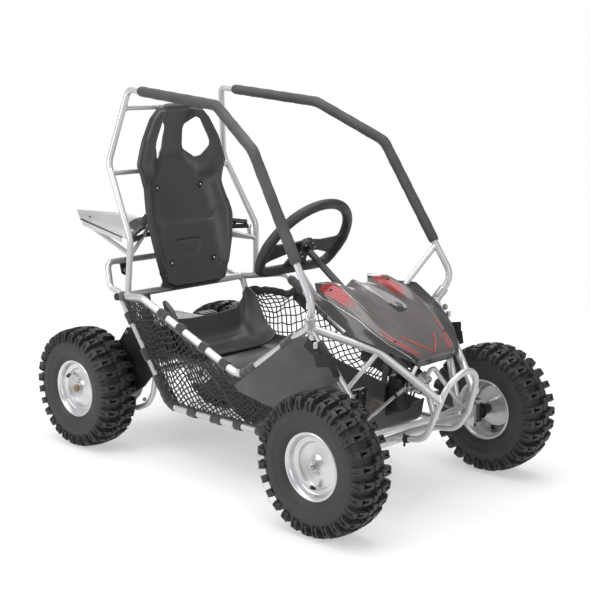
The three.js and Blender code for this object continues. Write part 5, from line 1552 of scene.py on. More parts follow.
def treadPitch():
    form = Form()
    step = math.tau * treadRadius / treadPitches
    for way in (-1, 1):
        shift = 0.25 * step * way

        def placed(name, s=0.0, w=0.0):
            return [(a + s - shift, (b + w) * way) for a, b in treadShapes[name]]

        lug(form, placed("paddle"), 156, 0.9)
        lug(form, placed("middle", 3.0 * way, 2.0), 158, 0.88)
        form.add([wrap(s, w, r) for r in (150, 160.5) for s, w in placed("tie")], boxFaces)
        for name, s, width, topWidth in treadRibs:
            rib(form, [(w * way, r) for w, r in treadShapes[name]], s - shift, width, topWidth)
    return form


# Short hairs that moulding leaves on the shoulders.
hairStarts = ((57.5, 163.0), (59.3, 155.0), (52.0, 169.0))
hairReach = {"height": 176, "radius": 177}


def hairs(form, count, seed):
    rnd = random.Random(seed)
    for _ in range(count):
        turn = rnd.uniform(0, math.tau)
        way = rnd.choice((-1, 1))
        out = Vector((math.sin(turn), 0, math.cos(turn)))
        w, r = rnd.choice(hairStarts)
        base = out * r + axisY * w * way
        lean = (out * rnd.uniform(0.2, 0.9) + axisY * way * rnd.uniform(0.3, 1.0)).normalized()
        tip = base + lean * rnd.uniform(3, 6)
        radius = (tip - axisY * tip.y).length
        if abs(tip.z) > hairReach["height"] or radius > hairReach["radius"]:
            continue
        side, up = square((tip - base).normalized())
        points = [base + side * a + up * b for a, b in ring(0.45, 3)] + [tip]
        form.add(points, [(0, 1, 3), (1, 2, 3), (2, 0, 3), (2, 1, 0)])


pitchForm = treadPitch()
hairForm = Form()
hairs(hairForm, 420, 3)


def makeTyre(name, centre, body, replaced):
    form = Form()
    inner = [(150, 0), (148, 40), (120, 48), (90, 40), (80, 34), (76.5, 34)]
    outline = carcass + [(r, -a) for r, a in carcass[-2::-1]]
    outline += [(r, -a) for r, a in inner[::-1]] + inner[1:]
    lathe(form, outline, centre, axisY, 112, closed=True)
    form.add([p + centre for p in hairForm.points], hairForm.faces)
    piece(f"{name}Carcass", form, body, [tyreRubber], [replaced], 0, 30)
    base = meshOf(f"{name}Pitch", pitchForm, [tyreRubber], metres=False)
    values = {"Count": treadPitches, "Centre": inMetres(centre), "Material": tyreRubber}
    show(f"{name}Tread", grow(f"{name}Tread", base, copiesInRing, values), body)


# Wheels: a rolled rim with stepped wells and a dished disc.
rimOutline = [
    (9, 32), (15.4, 32), (16, 31.4), (16, 25), (19, 22.6), (21.5, 20.6), (28, 18.6), (42, 16.4),
    (52, 15.2), (55, 15.6), (56.6, 17.4), (57.4, 21.5), (59, 24), (62, 25), (68, 26), (71, 27.6),
    (72.4, 31), (73.6, 36), (75.6, 40), (78, 42.6), (80.4, 44), (82.8, 44.2), (84.4, 43),
    (84.6, 41), (82.8, 39.6), (80.2, 38.4), (77.8, 35.5), (76.4, 30), (74, 25), (74, -25),
    (76.4, -30), (77.8, -35.5), (80.2, -38.4), (82.8, -39.6), (84.6, -41), (84.4, -43),
    (82.6, -44.4), (79.6, -43.6), (77, -40.6), (74.6, -34), (71.4, -27), (71.4, 21), (68, 23.6),
    (62, 22.6), (59.6, 21), (58.6, 15), (56, 12.6), (42, 13.8), (28, 16), (21, 16.4), (20, -22),
    (9, -22),
]


def makeRim(name, centre, sign, body, replaced, bore, valve):
    form = Form()
    outline = [(bore if r == 9 else r, a * sign) for r, a in rimOutline]
    lathe(form, outline, centre, axisY, 96, closed=True)
    out = axisY * sign
    arm = Vector((valve[0], 0, valve[1])).normalized()
    base = centre + arm * 66 + out * 12
    way = (out * 0.86 - arm * 0.5).normalized()
    drum(form, 5.6, 6, way, base + way * 2, 24, 1.6, 1)
    drum(form, 3.9, 22, way, base + way * 14, 20, 1.2, 1)
    drum(form, 4.8, 9, way, base + way * 23, 20, 1.6, 1)
    for a, b in ring(27, 3, 0.5):
        drum(form, 2.4, 1.2, out, centre + Vector((a, 0, b)) + out * 10.5, 14, 0.4)
    piece(f"{name}Steel", form, body, [rimPaint, blackTrim], [replaced], 0, 30)


# Each pair of wheels: place ahead, place out, body, bore and the valve's place.
frontWheelY, rearWheelY = 345.0, 284.0
wheelPlaces = {
    "front": (wheelbase, frontWheelY, "front_wheel_{}", 10.3, (-6, -58)),
    "rear": (0.0, rearWheelY, "rear_axle", 12.8, (-56, 34)),
}
for end, (x, y, body, bore, valve) in wheelPlaces.items():
    for sideName, sideSign in sides.items():
        centre = Vector((x, sideSign * y, axleHeight))
        rider = body.format(sideName)
        makeTyre(f"{end}Tyre_{sideName}", centre, rider, f"{end}_tyre_{sideName}")
        rim = f"{end}_rim_{sideName}"
        makeRim(f"{end}Rim_{sideName}", centre, sideSign, rider, rim, bore, valve)
print("wheels ready")


# The rear axle with its nuts, and the brake disc.
discY = -130


def makeRearAxle():
    form = Form()
    centre = Vector((0, 0, axleHeight))
    drum(form, 12.4, 2 * (rearWheelY + 32.5), axisY, centre, 40, 1.5)
    for sign in (1, -1):
        drum(form, 17, 13, axisY, centre + axisY * sign * 255.2, 36, 1)
        drum(form, 15.6, 2.4, axisY, centre + axisY * sign * 317.7, 32, 0.5)
        hexagon(form, 11.4, 9, axisY, centre + axisY * sign * 323.2, 1)
        drum(form, 6, 3, axisY, centre + axisY * sign * 329, 24, 0.6, 1)
    piece("rearAxleZinc", form, "rear_axle", [zincSteel, brassSteel], ["rear_axle"])
    disc = Form()
    holes = [ring(12.9, 32)]
    for k, (x, z) in enumerate(ring(1.0, 18)):
        radius = 58 + 7 * (k % 3 - 1)
        holes.append([(a + radius * x, b + radius * z) for a, b in ring(3.2, 12)])
    plate(disc, ring(75, 72), 4, Vector((0, discY, axleHeight)), axisX, axisZ, holes)
    piece("brakeDiscSteel", disc, "rear_axle", [zincSteel], ["brake_disc"])


makeRearAxle()

# The motor with its shaft, cooling fins, foot and leads.
motorCentre = Vector((0.104 * wheelbase, 0, level(0.141)))
motorSize = {"half": 46, "fins": 40, "screws": 47}
chainY = 160.0


def makeMotor():
    form = Form()
    face = chainY - 4 - 14
    half = motorSize["half"]
    middle = Vector((motorCentre.x, face - half, motorCentre.z))
    outline = doubled([(0, -half), (50, -half), (54, -44), (56, -38), (56, -34), (60, -34)])
    lathe(form, outline, middle, axisY, 64)
    drum(form, 7.8, 36, axisY, Vector((motorCentre.x, face + 13, motorCentre.z)), 24, 0.8, 1)
    for a, b in ring(motorSize["screws"], 6):
        for way in (-1, 1):
            screw(form, middle + Vector((a, way * (half - 0.4), b)), axisY * way, 3.2, 1)
    block(form, (150, 68, 12), Vector((175.5, middle.y, trayZ)))
    leads = [(-20, -44, 30), (-30, -80, 40), (10, -130, 20)]
    tube(form, [middle + Vector(place) for place in leads], 9, 20, 12)
    piece("motorCase", form, "frame", [blackSteel, zincSteel], ["motor"], 0.8)
    fin = Form()
    block(fin, (6, 62, 5), Vector((0, 0, 60)))
    base = meshOf("motorFin", fin, [blackSteel], 0.6, metres=False)
    values = {"Count": motorSize["fins"], "Centre": inMetres(middle), "Material": blackSteel}
    show("motorFins", grow("motorFins", base, copiesInRing, values), "frame")


makeMotor()


# The battery box with the controller in it, on a bar across the floor rails.
battery = {"long": 150, "wide": 180, "high": 92, "lid": 14, "y": -60, "latches": 60}


def makeBattery():
    form = Form()
    long, wide, high, lid, y, gap = battery.values()
    frontX = 0.2 * wheelbase - 7
    bottom = axleHeight + 82
    block(form, (long, wide, high), Vector((frontX - long / 2, y, bottom + high / 2)))
    block(form, (long + 4, wide + 4, lid), Vector((frontX - long / 2, y, bottom + high + 8)))
    for way in (-1, 0, 1):
        latch = Vector((frontX - long - 0.8, y + way * gap, bottom + high - 8))
        block(form, (3, 22, 34), latch, mark=1)
    cross, low = spots(["crossCorner", "downLow"], 1)
    at = cross.lerp(low, (cross.z - trayZ) / (cross.z - low.z))
    tube(form, [at, Vector((at.x, -at.y, at.z))], loopTube, mark=2)
    for way in (-1, 1):
        block(form, (52, 26, 13), Vector((at.x - 24, y + way * 55, trayZ)))
    lugLoop = [(cross.x - 26, bottom + 100), (cross.x + 26, bottom + 100)]
    lugLoop += [(cross.x + 9, cross.z), (cross.x - 9, cross.z)]
    plate(form, lugLoop, 6, axisY * -143, axisX, axisZ)
    bolt(form, Vector((cross.x, -146, lerp(bottom + 108, cross.z, 0.45))), -axisY, 5, 1)
    coats = [blackSteel, zincSteel, silverPaint]
    piece("batteryCase", form, "frame", coats, ["battery_box"], 2.2)


makeBattery()


# The brake's caliper, and the cable's shares from the pedal along the right side.
cableShares = [
    (0.89, 0.17, -0.02), (0.83, -0.21, -0.02), (0.752, -0.636, -0.022), (0.693, -0.685, -0.025),
    (0.307, -0.685, -0.025), (0.242, -0.67, 0.06), (0.15, -0.64, 0.141), (0.02, -0.59, 0.14),
]


def makeBrake():
    form = Form()
    centre = Vector((-54, discY, axleHeight + 54))
    for way in (-1, 1):
        block(form, (40, 12.5, 38), centre + axisY * way * 10.7)
    block(form, (40, 34, 9), centre + axisZ * 14.4)
    drum(form, 13, 6, axisY, centre - axisY * 18, 28, 1.2)
    for x, z in ((-13, 11), (13, 11)):
        bolt(form, centre + Vector((x, -17, z)), -axisY, 4.5, 1)
    z = centre.z - 12
    elbow = Vector((-7, -176, z))
    tube(form, [Vector((centre.x + 7, -140, z)), elbow, Vector((-7, -211, z))], 14, 7)
    coats = [blackSteel, zincSteel]
    piece("caliperCase", form, "frame", coats, ["brake_caliper"], 1.0)
    cable = Form()
    run = [placeAt(*share) for share in cableShares]
    run += [centre + axisZ * rise for rise in (49, 19.3)]
    path = evenly(bentPath(run, 24), 12)
    sweep(cable, path, ring(3, 14))
    made = piece("brakeCable", cable, "frame", [blackTrim], ["brake_cable"])
    length = sum((b - a).length for a, b in zip(path, path[1:])) * mm
    line = [inMetres(p) for p in path]
    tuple(line[0])


makeBrake()
print("drive ready")


# The chain: plates and rollers round both sprockets.
chainPitch, chainTeeth = 12.7, (36, 12)


def makeChain():
    pitch = chainPitch
    centre = Vector((0, chainY, axleHeight))
    small = Vector((motorCentre.x, chainY, motorCentre.z))
    run = small - centre
    bigRadius, smallRadius = (pitch / (2 * math.sin(math.pi / teeth)) for teeth in chainTeeth)
    lean = math.acos((bigRadius - smallRadius) / run.length)
    rise = math.atan2(run.z, run.x)
    path = []
    for middle, *bend in (
        (centre, bigRadius, rise + lean, rise + math.tau - lean, 48),
        (small, smallRadius, rise - lean, rise + lean, 20),
    ):
        path += [middle + Vector((a, 0, b)) for a, b in arc(*bend)]
    length = sum((b - a).length for a, b in zip(path, path[1:] + path[:1]))
    count = round(length / pitch / 2)
    link = Form()
    for out, first in ((3.6, -pitch), (2.6, 0.0)):
        loop = [(-3.9, 0), (-2.6, 3.2), (0, 4.1), (4, 3), (pitch / 2, 2.6)]
        loop += [(pitch - a, b) for a, b in loop[-2::-1]]
        loop = [(first + a, b) for a, b in loop]
        loop += [(a, -b) for a, b in loop[-2:0:-1]]
        for way in (-1, 1):
            plate(link, loop, 0.9, axisY * way * out, axisX, axisZ)
    for x in (-pitch, 0):
        drum(link, 3.9, 4.2, axisY, axisX * x, 14, 0.4)
        drum(link, 1.8, 8.6, axisY, axisX * x, 12, 0.3)
    shape = bpy.data.objects.new("chainLink", meshOf("chainLink", link, [zincSteel], metres=False))
    bpy.context.collection.objects.link(shape)
    mesh = bpy.data.meshes.new("chainPath")
    closed = [(k, (k + 1) % len(path)) for k in range(len(path))]
    mesh.from_pydata([inMetres(p) for p in path], closed, [])
    values = {"Shape": shape, "Count": count, "Material": zincSteel}
    made = grow("chainLinks", mesh, linksOnPath, values)
    bpy.data.objects.remove(shape)
    show("chainLinks", made, "frame", ["chain"])


makeChain()


# Pedals: an arm, a slotted pad with ridges, and a hub on the pivot.
def makePedal(name, out):
    form = Form()
    pivot = Vector((pedalX, out, pedalZ))
    lean = math.radians(6)
    up = Vector((math.sin(lean), 0, math.cos(lean)))
    arm = roundLoop([(-7, -3), (7, -3), (7, 104), (-7, 104)], 3)
    plate(form, arm, 7, pivot, axisY, up)
    pad = roundLoop([(-29, 43), (29, 43), (29, 105), (-29, 105)], 8)
    slots = []
    for z in (56, 73, 90):
        for side in (-1, 1):
            slot = [(side * 6, z), (side * 23, z), (side * 23, z + 6), (side * 6, z + 6)]
            slots.append(roundLoop(slot[::side], 2.5))
    plate(form, pad, 6, pivot - axisX * 4, axisY, up, slots)
    for k in range(5):
        ridge = pivot - axisX * 8 + up * (51 + 12 * k)
        block(form, (2.4, 50, 2.4), ridge, (axisX, axisY, up))
    drum(form, 9, 29.6, axisY, pivot, 32, 0.8)
    piece(f"{name}Steel", form, name, [blackSteel], [name], 0.6)


for pedalName, pedalOut in pedals.items():
    makePedal(pedalName, pedalOut)


# Knuckles and tie rods. The rods' eyes lie one over the other on the pitman arm's pin.
armZ = axleHeight - 25.7 + 1 + 3
armReach = 60
pitmanAt = columnLength - 43
eyeStep = 9 + 3 * 0.6


def makeKnuckle(side, sign):
    form = Form()
    pivot = onBeam(sign * yoke["pin"])
    collar(form, 7.3, 13, 25.6, pivot, axisZ)

    def along(start, end, radius, mark=0, shape=drum):
        shape(form, radius, end - start, axisY, onBeam(sign * (start + end) / 2), mark=mark)

    along(283, 378, 9.9, 1)
    along(281, 322.5, 15)
    along(377.3, 379.3, 14.6, 1)
    along(379.3, 386.2, 9.4, 1, hexagon)
    along(384, 389.6, 5, 1)
    loop = [(-armReach, -9), (0, -10), (0, 10), (-armReach, 9)]
    loop += [(-armReach - b, a) for a, b in arc(9, 0, math.pi, 8, first=1)]
    plate(form, loop, 6, Vector((wheelbase, pivot.y, armZ)), axisX, axisY)
    tip = Vector((wheelbase - armReach, pivot.y, armZ))
    drum(form, 3.4, 18, axisZ, tip + axisZ * 7, 16, 0.4, 1)
    hexagon(form, 6.4, 5, axisZ, tip - axisZ * 5.5, 1)
    drum(form, 22, 3, axisY * sign, pivot + axisY * sign * 17, 36, 0.6)
    name, coats = f"knuckle_{side}", [blackSteel, zincSteel]
    piece(f"knuckleSteel_{side}", form, name, coats, [name], 0.5)


def eyeAt(index):
    return pitmanAt + (6 + eyeStep + 0.6) / 2 + index * eyeStep


def makeTieRod(side, sign, index):
    form = Form()
    inner = onColumn(eyeAt(index), -50)
    outer = Vector((wheelbase - armReach, sign * yoke["pin"], armZ + 3 + 0.3 + 4))
    way = towards(outer, inner)
    tube(form, [outer + way * 9, inner - way * 11], 8, sides=18)
    for end, toward in ((outer, way), (inner, -way)):
        start = end + toward * 12
        sweep(form, [start, start + toward * 34], ring(6.4, 6))
        sweep(form, [start + toward * 35, start + toward * 41], ring(7, 6), mark=1)
    collar(form, 7.4, 12, 4.4, inner, columnAxis)
    collar(form, 3.8, 10, 4, outer, axisZ)
    name, coats = f"tie_rod_{side}", [zincSteel, blackSteel]
    piece(f"tieRodZinc_{side}", form, name, coats, [name], 0, 30)


for rodIndex, (sideName, sideSign) in enumerate(sides.items()):
    makeKnuckle(sideName, sideSign)
    makeTieRod(sideName, sideSign, rodIndex)


# The steering column and the wheel, a round rim with one flat side.
wheelSizes = {
    "radius": 148.0, "flat": 80.0, "grip": 28.0, "lift": 18.0, "plate": 18.0,
    "spoke": [(0, -24), (60, -20), (112, -36), (150, -62), (154, 36), (116, 17), (60, 14), (0, 22)],
    "tongue": [(-36, 4), (-34, -40), (-50, -86), (50, -86), (34, -40), (36, 4)],
    "window": [(-11, -38), (-12, -66), (12, -66), (11, -38)],
}


# Corners of the rim: the round, a bend down to the flat side, the flat side and the bend back.
def rimCorners():
    radius, flat = wheelSizes["radius"], wheelSizes["flat"]
    turn = math.asin(flat / radius)
    edge = math.cos(turn) * radius
    corners = arc(radius, -turn + 0.14, math.pi + turn - 0.14, 40)
    start, middle, end = corners[-1], (-edge * 1.02, -flat), (-edge * 0.72, -flat)
    bend = []
    for s in (k / 7 for k in range(1, 7)):
        into = [lerp(a, b, s) for a, b in zip(start, middle)]
        out = [lerp(a, b, s) for a, b in zip(middle, end)]
        bend.append(tuple(lerp(a, b, s) for a, b in zip(into, out)))
    straight = [(lerp(end[0], -end[0], k / 8), -flat) for k in range(9)]
    return corners + bend + straight + [(-a, b) for a, b in bend[::-1]]


def makeSteering():
    form = Form()
    tube(form, [onColumn(0.3), columnEnd], 19, sides=28)
    loop = arc(16, 0, math.pi, 12) + arc(9, math.pi, math.tau, 10, (0, -50))
    plate(form, loop, 6, onColumn(pitmanAt), axisY, columnUp)
    pinTo = eyeAt(1) + eyeStep
    tube(form, [onColumn(pitmanAt, -50), onColumn(pinTo - 2, -50)], 6, sides=16, mark=1)
    hexagon(form, 6, 4, columnAxis, onColumn(pitmanAt - 5, -50), 1)
    coats = [blackSteel, zincSteel]
    piece("columnSteel", form, "steering", coats, ["steering_column"], 0.4)

    grip = Form()
    size = wheelSizes
    corners = rimCorners()

    # The grip is thicker at the sides, with finger notches, and thinner along the flat side.
    def gripSection(k):
        a, b = corners[k]
        thick = 1 + 0.06 * math.exp(-((b - 10) / 26) ** 2) - 0.05 * (b < -80)
        notch = 0.05 * math.sin(b / 4.5) * (abs(b + 8) < 34 and abs(a) > 100)
        return ring(size["grip"] / 2 * (thick + notch * 0.6), 22)

    path = [onColumn(-size["lift"], b, a) for a, b in corners]
    sweep(grip, path, gripSection, closed=True)
    drum(grip, 30, 18, columnAxis, onColumn(-10.6), 44, 2, 1)
    drum(grip, 22, 7, columnAxis, onColumn(-22.5), 40, 2.2, 1)
    for a, b in ring(25, 6, 0.26):
        screw(grip, onColumn(-19.6, b, a), -columnAxis, 2.8, 2)
        screw(grip, onColumn(-1.8, b, a), columnAxis, 2.8, 2)
    face = onColumn(-size["plate"])
    for sign in (1, -1):
        spoke = roundLoop([(sign * a, b) for a, b in size["spoke"]], 8)
        plate(grip, spoke, 7, face, axisY, columnUp, mark=1)
    window = roundLoop(size["window"], 4)
    plate(grip, roundLoop(size["tongue"], 8), 5.4, face, axisY, columnUp, [window], 1)
    coats = [gripFoam, blackTrim, zincSteel]
    piece("wheelGrip", grip, "steering", coats, ["steering_wheel"], 0, 34)


makeSteering()
print("steering ready")


# Side nets: diamonds of cord between the rails, with webbing at their edges and round the tubes.
def alongPath(path, count):
    runs = [(b - a).length for a, b in zip(path, path[1:])]
    total = sum(runs)
    made = []
    for k in range(count + 1):
        left = total * k / count
        i = 0
        while i < len(runs) - 1 and left > runs[i]:
            left -= runs[i]
            i += 1
        made.append(path[i].lerp(path[i + 1], min(left / runs[i], 1)))
    return made


# How far the net's top edge hangs below the rail: at two corners, then at shares past the second.
netDips = {-1: (0, 0), 1: (44, 56, (0.08, 46), (0.17, 0))}
netInset = 0.035


def netEdges(sign):
    corner, railBend, railLow, cageFoot = spots(railRun, sign)
    downLow, floorRear, floorMiddle = spots(floorRun, sign)[1:4]
    start = corner.lerp(railBend, 0.25)
    dips = netDips[sign]
    upper = [start - axisZ * dips[0], railBend - axisZ * dips[1]]
    upper += [railBend.lerp(railLow, along) - axisZ * drop for along, drop in dips[2:]]
    upper += [railLow, railLow.lerp(cageFoot, 0.44)]
    lower = [corner.lerp(downLow, 0.21), downLow, floorRear, floorRear.lerp(floorMiddle, 0.85)]
    lower.append(spot("netFrontLower", sign))
    return bentPath(upper, 60), bentPath(lower, 60)


# Knots of the net, each a little out of place, and the net's own belly and sag.
def netKnots(sign, columns, rows, loose):
    top, bottom = (alongPath(line, columns) for line in netEdges(sign))
    rnd = random.Random(11 + sign)
    grid = {}
    for p in range(columns + 1):
        for q in range(rows + 1):
            belly = math.sin(math.pi * q / rows) * math.sin(math.pi * p / columns)
            sag = 9 * math.sin(p * 0.55) * belly
            ahead, up = (rnd.uniform(-loose, loose) for _ in range(2))
            share = lerp(netInset, 1 - netInset, q / rows)
            off = Vector((ahead, -sign * 2.5 * belly, up - sag))
            grid[p, q] = bottom[p].lerp(top[p], share) + off
    return grid


def makeNet(side, sign, columns, rows, cord, loose):
    grid = netKnots(sign, columns, rows, loose)
    index, edges = {}, []
    for p in range(columns):
        for q in range(p % 2, rows + 1, 2):
            for step in (-1, 1):
                if 0 <= q + step <= rows:
                    ends = ((p, q), (p + 1, q + step))
                    edges.append(tuple(index.setdefault(end, len(index)) for end in ends))
    mesh = bpy.data.meshes.new(f"netEdges_{side}")
    mesh.from_pydata([inMetres(grid[knot]) for knot in index], edges, [])
    values = {"Radius": cord * mm, "Sides": 6, "Material": netCord}
    made = grow(f"netCords_{side}", mesh, cordsOnEdges, values)
    show(f"netCords_{side}", made, "frame", [f"side_net_{side}"])

    border = Form()
    loop = [grid[p, 0] for p in range(columns + 1)] + [grid[columns, q] for q in range(1, rows + 1)]
    loop += [grid[p, rows] for p in range(columns - 1, -1, -1)]
    loop += [grid[0, q] for q in range(rows - 1, 0, -1)]
    borderSweep(border, loop, [(11 * a, 2 * b) for a, b in ring(1.0, 12)])
    piece(f"netBorder_{side}", border, "frame", [webbing])


# A closed band that keeps its flat side towards the kart's side.
def borderSweep(form, path, outline):
    points = []
    for p, t in zip(path, tangentsOf(path, True)):
        side = t.cross(axisY).normalized()
        up = side.cross(t).normalized()
        points += [p + side * a + up * b for a, b in outline]
    form.add(points, bandFaces(len(path), len(outline), len(path), len(outline)))


# Webbing sleeves round the tubes: each from one distance to another along its run.
railSleeves = {
    "right": [(6, 50), (225, 261), (301, 331), (393, 420), (472, 503), (552, 620), (738, 786)],
    "left": [(184, 262), (300, 392), (476, 560), (600, 660), (738, 786)],
}
floorSleeves = [(50, 88), (163, 206), (250, 366), (426, 462), (520, 562), (611, 642), (698, 724)]
postSleeves = [(42, 104)]
netFlap = {"from": 186, "to": 260, "out": 12, "drops": (-4, 18, 40, 66)}


def sleeves(form, corners, ranges, radius, seed):
    path = evenly(bentPath(corners, 60), 3)
    runs = [0.0]
    for a, b in zip(path, path[1:]):
        runs.append(runs[-1] + (b - a).length)
    rnd = random.Random(seed)
    for start, end in ranges:
        part = [p for p, at in zip(path, runs) if start <= at <= end]
        if len(part) < 3:
            continue
        phase = rnd.uniform(0, math.tau)
        last = len(part) - 1

        def section(k, phase=phase, last=last):
            edge = min(k, last - k)
            swell = radius + 0.5 * math.sin(k * 0.9 + phase) - 1.5 * (edge == 0)
            made = []
            for t in (math.tau * j / 20 for j in range(20)):
                fold = 0.5 * math.sin(3 * t + 0.35 * k + phase) + 0.3 * math.sin(5 * t - 0.2 * k)
                made.append(((swell + fold) * math.cos(t), (swell + fold) * math.sin(t)))
            return made

        sweep(form, part, section)
    return path, runs


# Each net's columns, rows, radius of its cord and looseness.
nets = {"right": (66, 22, 2.1, 3.2), "left": (40, 16, 2.0, 2.6)}
for sideName, sideSign in sides.items():
    makeNet(sideName, sideSign, *nets[sideName])
    straps = Form()
    path, runs = sleeves(straps, spots(railRun, sideSign), railSleeves[sideName], 14, 5)
    if sideSign > 0:
        flap = netFlap
        part = [p for p, at in zip(path, runs) if flap["from"] <= at <= flap["to"]][::3]
        rows = [[p + Vector((0, flap["out"], -drop)) for p in part] for drop in flap["drops"]]
        gridSheet(straps, rows, 3)
    sleeves(straps, spots(floorRun, sideSign), floorSleeves, 13.6, 6)
    sleeves(straps, spots(postRun, sideSign), postSleeves, 14, 8)
    piece(f"strapSleeves_{sideName}", straps, "frame", [webbing])
print("nets ready")


# Guard panels of vinyl, laced between the strut, the post and the tub.
guardShares = [
    (0.584, 0.107), (0.693, 0.193), (0.814, 0.299), (0.884, 0.323), (0.911, 0.285), (0.958, 0.201),
    (0.816, 0.127), (0.742, 0.063),
]
# Webbing flaps that close the guard round the post: place, half sizes, tilt, height over the vinyl.
guardFlaps = [(934, 404, 30, 17, 10, 14), (893, 432, 17, 15, -38, 9), (962, 384, 10, 18, 20, 17)]


def makeGuard(side, sign):
    low, top, post = spots(["railLow", "cageFoot", "postMiddle"], sign)
    normal = facing((top - low).cross(post - low), sign)
    origin = low + normal * (frameRadius + 1.5 + 0.6)
    loop = roundLoop([(x * wheelbase, level(z)) for x, z in guardShares], 14)

    def laid(x, z):
        y = (origin.dot(normal) - x * normal.x - z * normal.z) / normal.y
        fold = 1.6 * math.sin((x + z) / 46) + 1.1 * math.sin((x - 1.4 * z) / 31)
        edge = smoothStep(distanceTo((x, z), loop + loop[:1]) / 26)
        return Vector((x, y, z)) + normal * fold * edge

    form = Form()
    planSheet(form, loop, [], 9, laid, 1.6)
    coats, name = [darkVinyl], f"guard_panel_{side}"
    made = piece(f"guardVinyl_{side}", form, "frame", coats, [name], 0, 50)
    lean = 1 / abs(normal.y)
    flat = tuple((max(line) - min(line)) * mm * lean for line in zip(*loop))
    straps = Form()
    for x, z, wide, high, tilt, out in guardFlaps:
        turn = math.radians(tilt)
        ahead = Vector((math.cos(turn), 0, math.sin(turn)))
        ahead = (ahead - normal * ahead.dot(normal)).normalized()
        flap = roundLoop([(-wide, -high), (wide, -high), (wide, high), (-wide, high)], 4)
        place = laid(x, z) + normal * out
        plate(straps, flap, 3, place, ahead, normal.cross(ahead).normalized())
    clampAt = top + normal * 15
    hexagon(straps, 9, 7, normal, clampAt + Vector((22, 0, -16)), 1)
    drum(straps, 6, 16, axisZ, clampAt + Vector((34, 0, -34)), 18, 1, 1)
    piece(f"guardFlaps_{side}", straps, "frame", [blackTrim, zincSteel], [], 0.6)


for sideName, sideSign in sides.items():
    makeGuard(sideName, sideSign)


# Small parts at the front: a canister on the toe board, its bracket and its cables.
def makeFront():
    form = Form()
    centre = Vector((960, -8, 276))
    outline = [(0, -47), (20, -47), (22.5, -44), (22.5, 20), (20.5, 22), (20.5, 26), (22.5, 28)]
    outline += [(22.5, 40), (20, 44), (12, 48), (0, 48)]
    lathe(form, outline, centre, axisZ, 40)
    back = [(-16, -50), (16, -50), (16, 30), (-16, 30)]
    plate(form, back, 3, Vector((938, -8, 264)), axisY, axisZ)
    for z in (-20, 24):
        lathe(form, [(22.4, -5), (24, -5), (24, 5), (22.4, 5)], centre + axisZ * z, axisZ, 40, True)
    for k, (dy, lift) in enumerate(((6, 20), (-6, 26), (0, 14))):
        start = centre + Vector((4, dy, 46))
        mid = start + Vector((10, dy * 2, lift))
        low, end = Vector((968, 30 + dy, 230)), Vector((940 - 20 * k, dy * 3 + 10, 215 + 8 * k))
        tube(form, [start, mid, mid + Vector((26, 14 + dy, -30)), low, end], 5, 18, 10)
    piece("frontCanister", form, "frame", [blackTrim, zincSteel])
    clip = Form()
    low, foot = spots(["loopLow", "loopFoot"], -1)
    place = low.lerp(foot, 0.62)
    drum(clip, 10, 14, towards(low, foot), place, 24, 1)
    drum(clip, 3, 34, axisZ, place - axisY * 9, 16, 1)
    piece("bumperClip", clip, "frame", [blackTrim])


makeFront()

# The sprockets keep their shape: only their finish changes.
for name in ("rear_sprocket", "drive_sprocket"):
    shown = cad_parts[name]
    shown.data.materials.clear()
    shown.data.materials.append(zincSteel)


# Floor, lights and background. Each lamp has its place, its aim, its size and its power.
lamps = {
    "top": ((0.2, -0.2, 3.4), (0, 0, 0.3), 3.6, 120),
    "key": ((-1.2, -3.4, 2.2), (0, 0, 0.4), 2.2, 75),
    "front": ((3.6, -1.2, 1.6), (0, 0, 0.4), 2.0, 30),
    "rim": ((-2.6, 2.8, 2.2), (0, 0, 0.5), 2.0, 45),
}
floorLook = {"radius": 14, "sides": 64, "fadeFrom": 1.0, "fadeTo": 3.2, "near": 0.45}


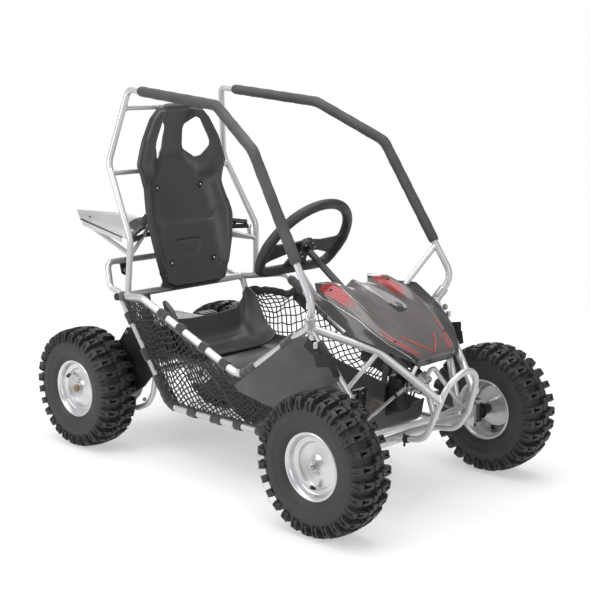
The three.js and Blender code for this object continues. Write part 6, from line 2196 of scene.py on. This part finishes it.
def makeStage():
    mesh = bpy.data.meshes.new("floor")
    points = [(a, b, 0) for a, b in ring(floorLook["radius"], floorLook["sides"])]
    mesh.from_pydata(points, [], [tuple(range(len(points)))])
    floor = bpy.data.objects.new("floor", mesh)
    bpy.context.collection.objects.link(floor)
    material = bpy.data.materials.new("floorPaper")
    material.use_nodes = True
    tree = material.node_tree
    tree.nodes.clear()
    where = node(tree, "ShaderNodeTexCoord").outputs["Object"]
    away = node(tree, "ShaderNodeVectorMath", {0: where}, operation="LENGTH").outputs["Value"]
    fade = (floorLook[key] for key in ("fadeFrom", "fadeTo", "near"))
    share = mapped(tree, away, *fade, 1.0)
    paper = node(tree, "ShaderNodeBsdfDiffuse", {"Color": (0.93, 0.93, 0.93, 1)}).outputs[0]
    glow = node(tree, "ShaderNodeEmission", {"Color": (1, 1, 1, 1), "Strength": 1.0}).outputs[0]
    mixed = node(tree, "ShaderNodeMixShader", {0: share, 1: paper, 2: glow}).outputs[0]
    tree.links.new(mixed, tree.nodes.new("ShaderNodeOutputMaterial").inputs[0])
    mesh.materials.append(material)
    floor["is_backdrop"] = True

    for name, (place, aim, size, power) in lamps.items():
        data = bpy.data.lights.new(name, "AREA")
        data.size = size
        data.energy = power
        lamp = bpy.data.objects.new(name, data)
        way = Vector(aim) - Vector(place)
        turn = way.to_track_quat("-Z", "Y").to_matrix().to_4x4()
        lamp.matrix_world = Matrix.Translation(place) @ turn
        bpy.context.collection.objects.link(lamp)
        lamp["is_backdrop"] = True

    world = bpy.data.worlds.new("studio")
    bpy.context.scene.world = world
    world.use_nodes = True
    tree = world.node_tree
    tree.nodes.clear()
    seen = node(tree, "ShaderNodeLightPath").outputs["Is Camera Ray"]
    white, soft = (
        node(tree, "ShaderNodeBackground", {"Color": tint, "Strength": power}).outputs[0]
        for tint, power in (((1, 1, 1, 1), 1.0), ((0.96, 0.97, 1, 1), 0.42))
    )
    mixed = node(tree, "ShaderNodeMixShader", {0: seen, 1: soft, 2: white}).outputs[0]
    tree.links.new(mixed, tree.nodes.new("ShaderNodeOutputWorld").inputs[0])
    bpy.context.scene.view_settings.view_transform = "Standard"


makeStage()

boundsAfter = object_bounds()
before, after = ([list(c) for c in bounds] for bounds in (boundsBefore, boundsAfter))
print("scene ready")
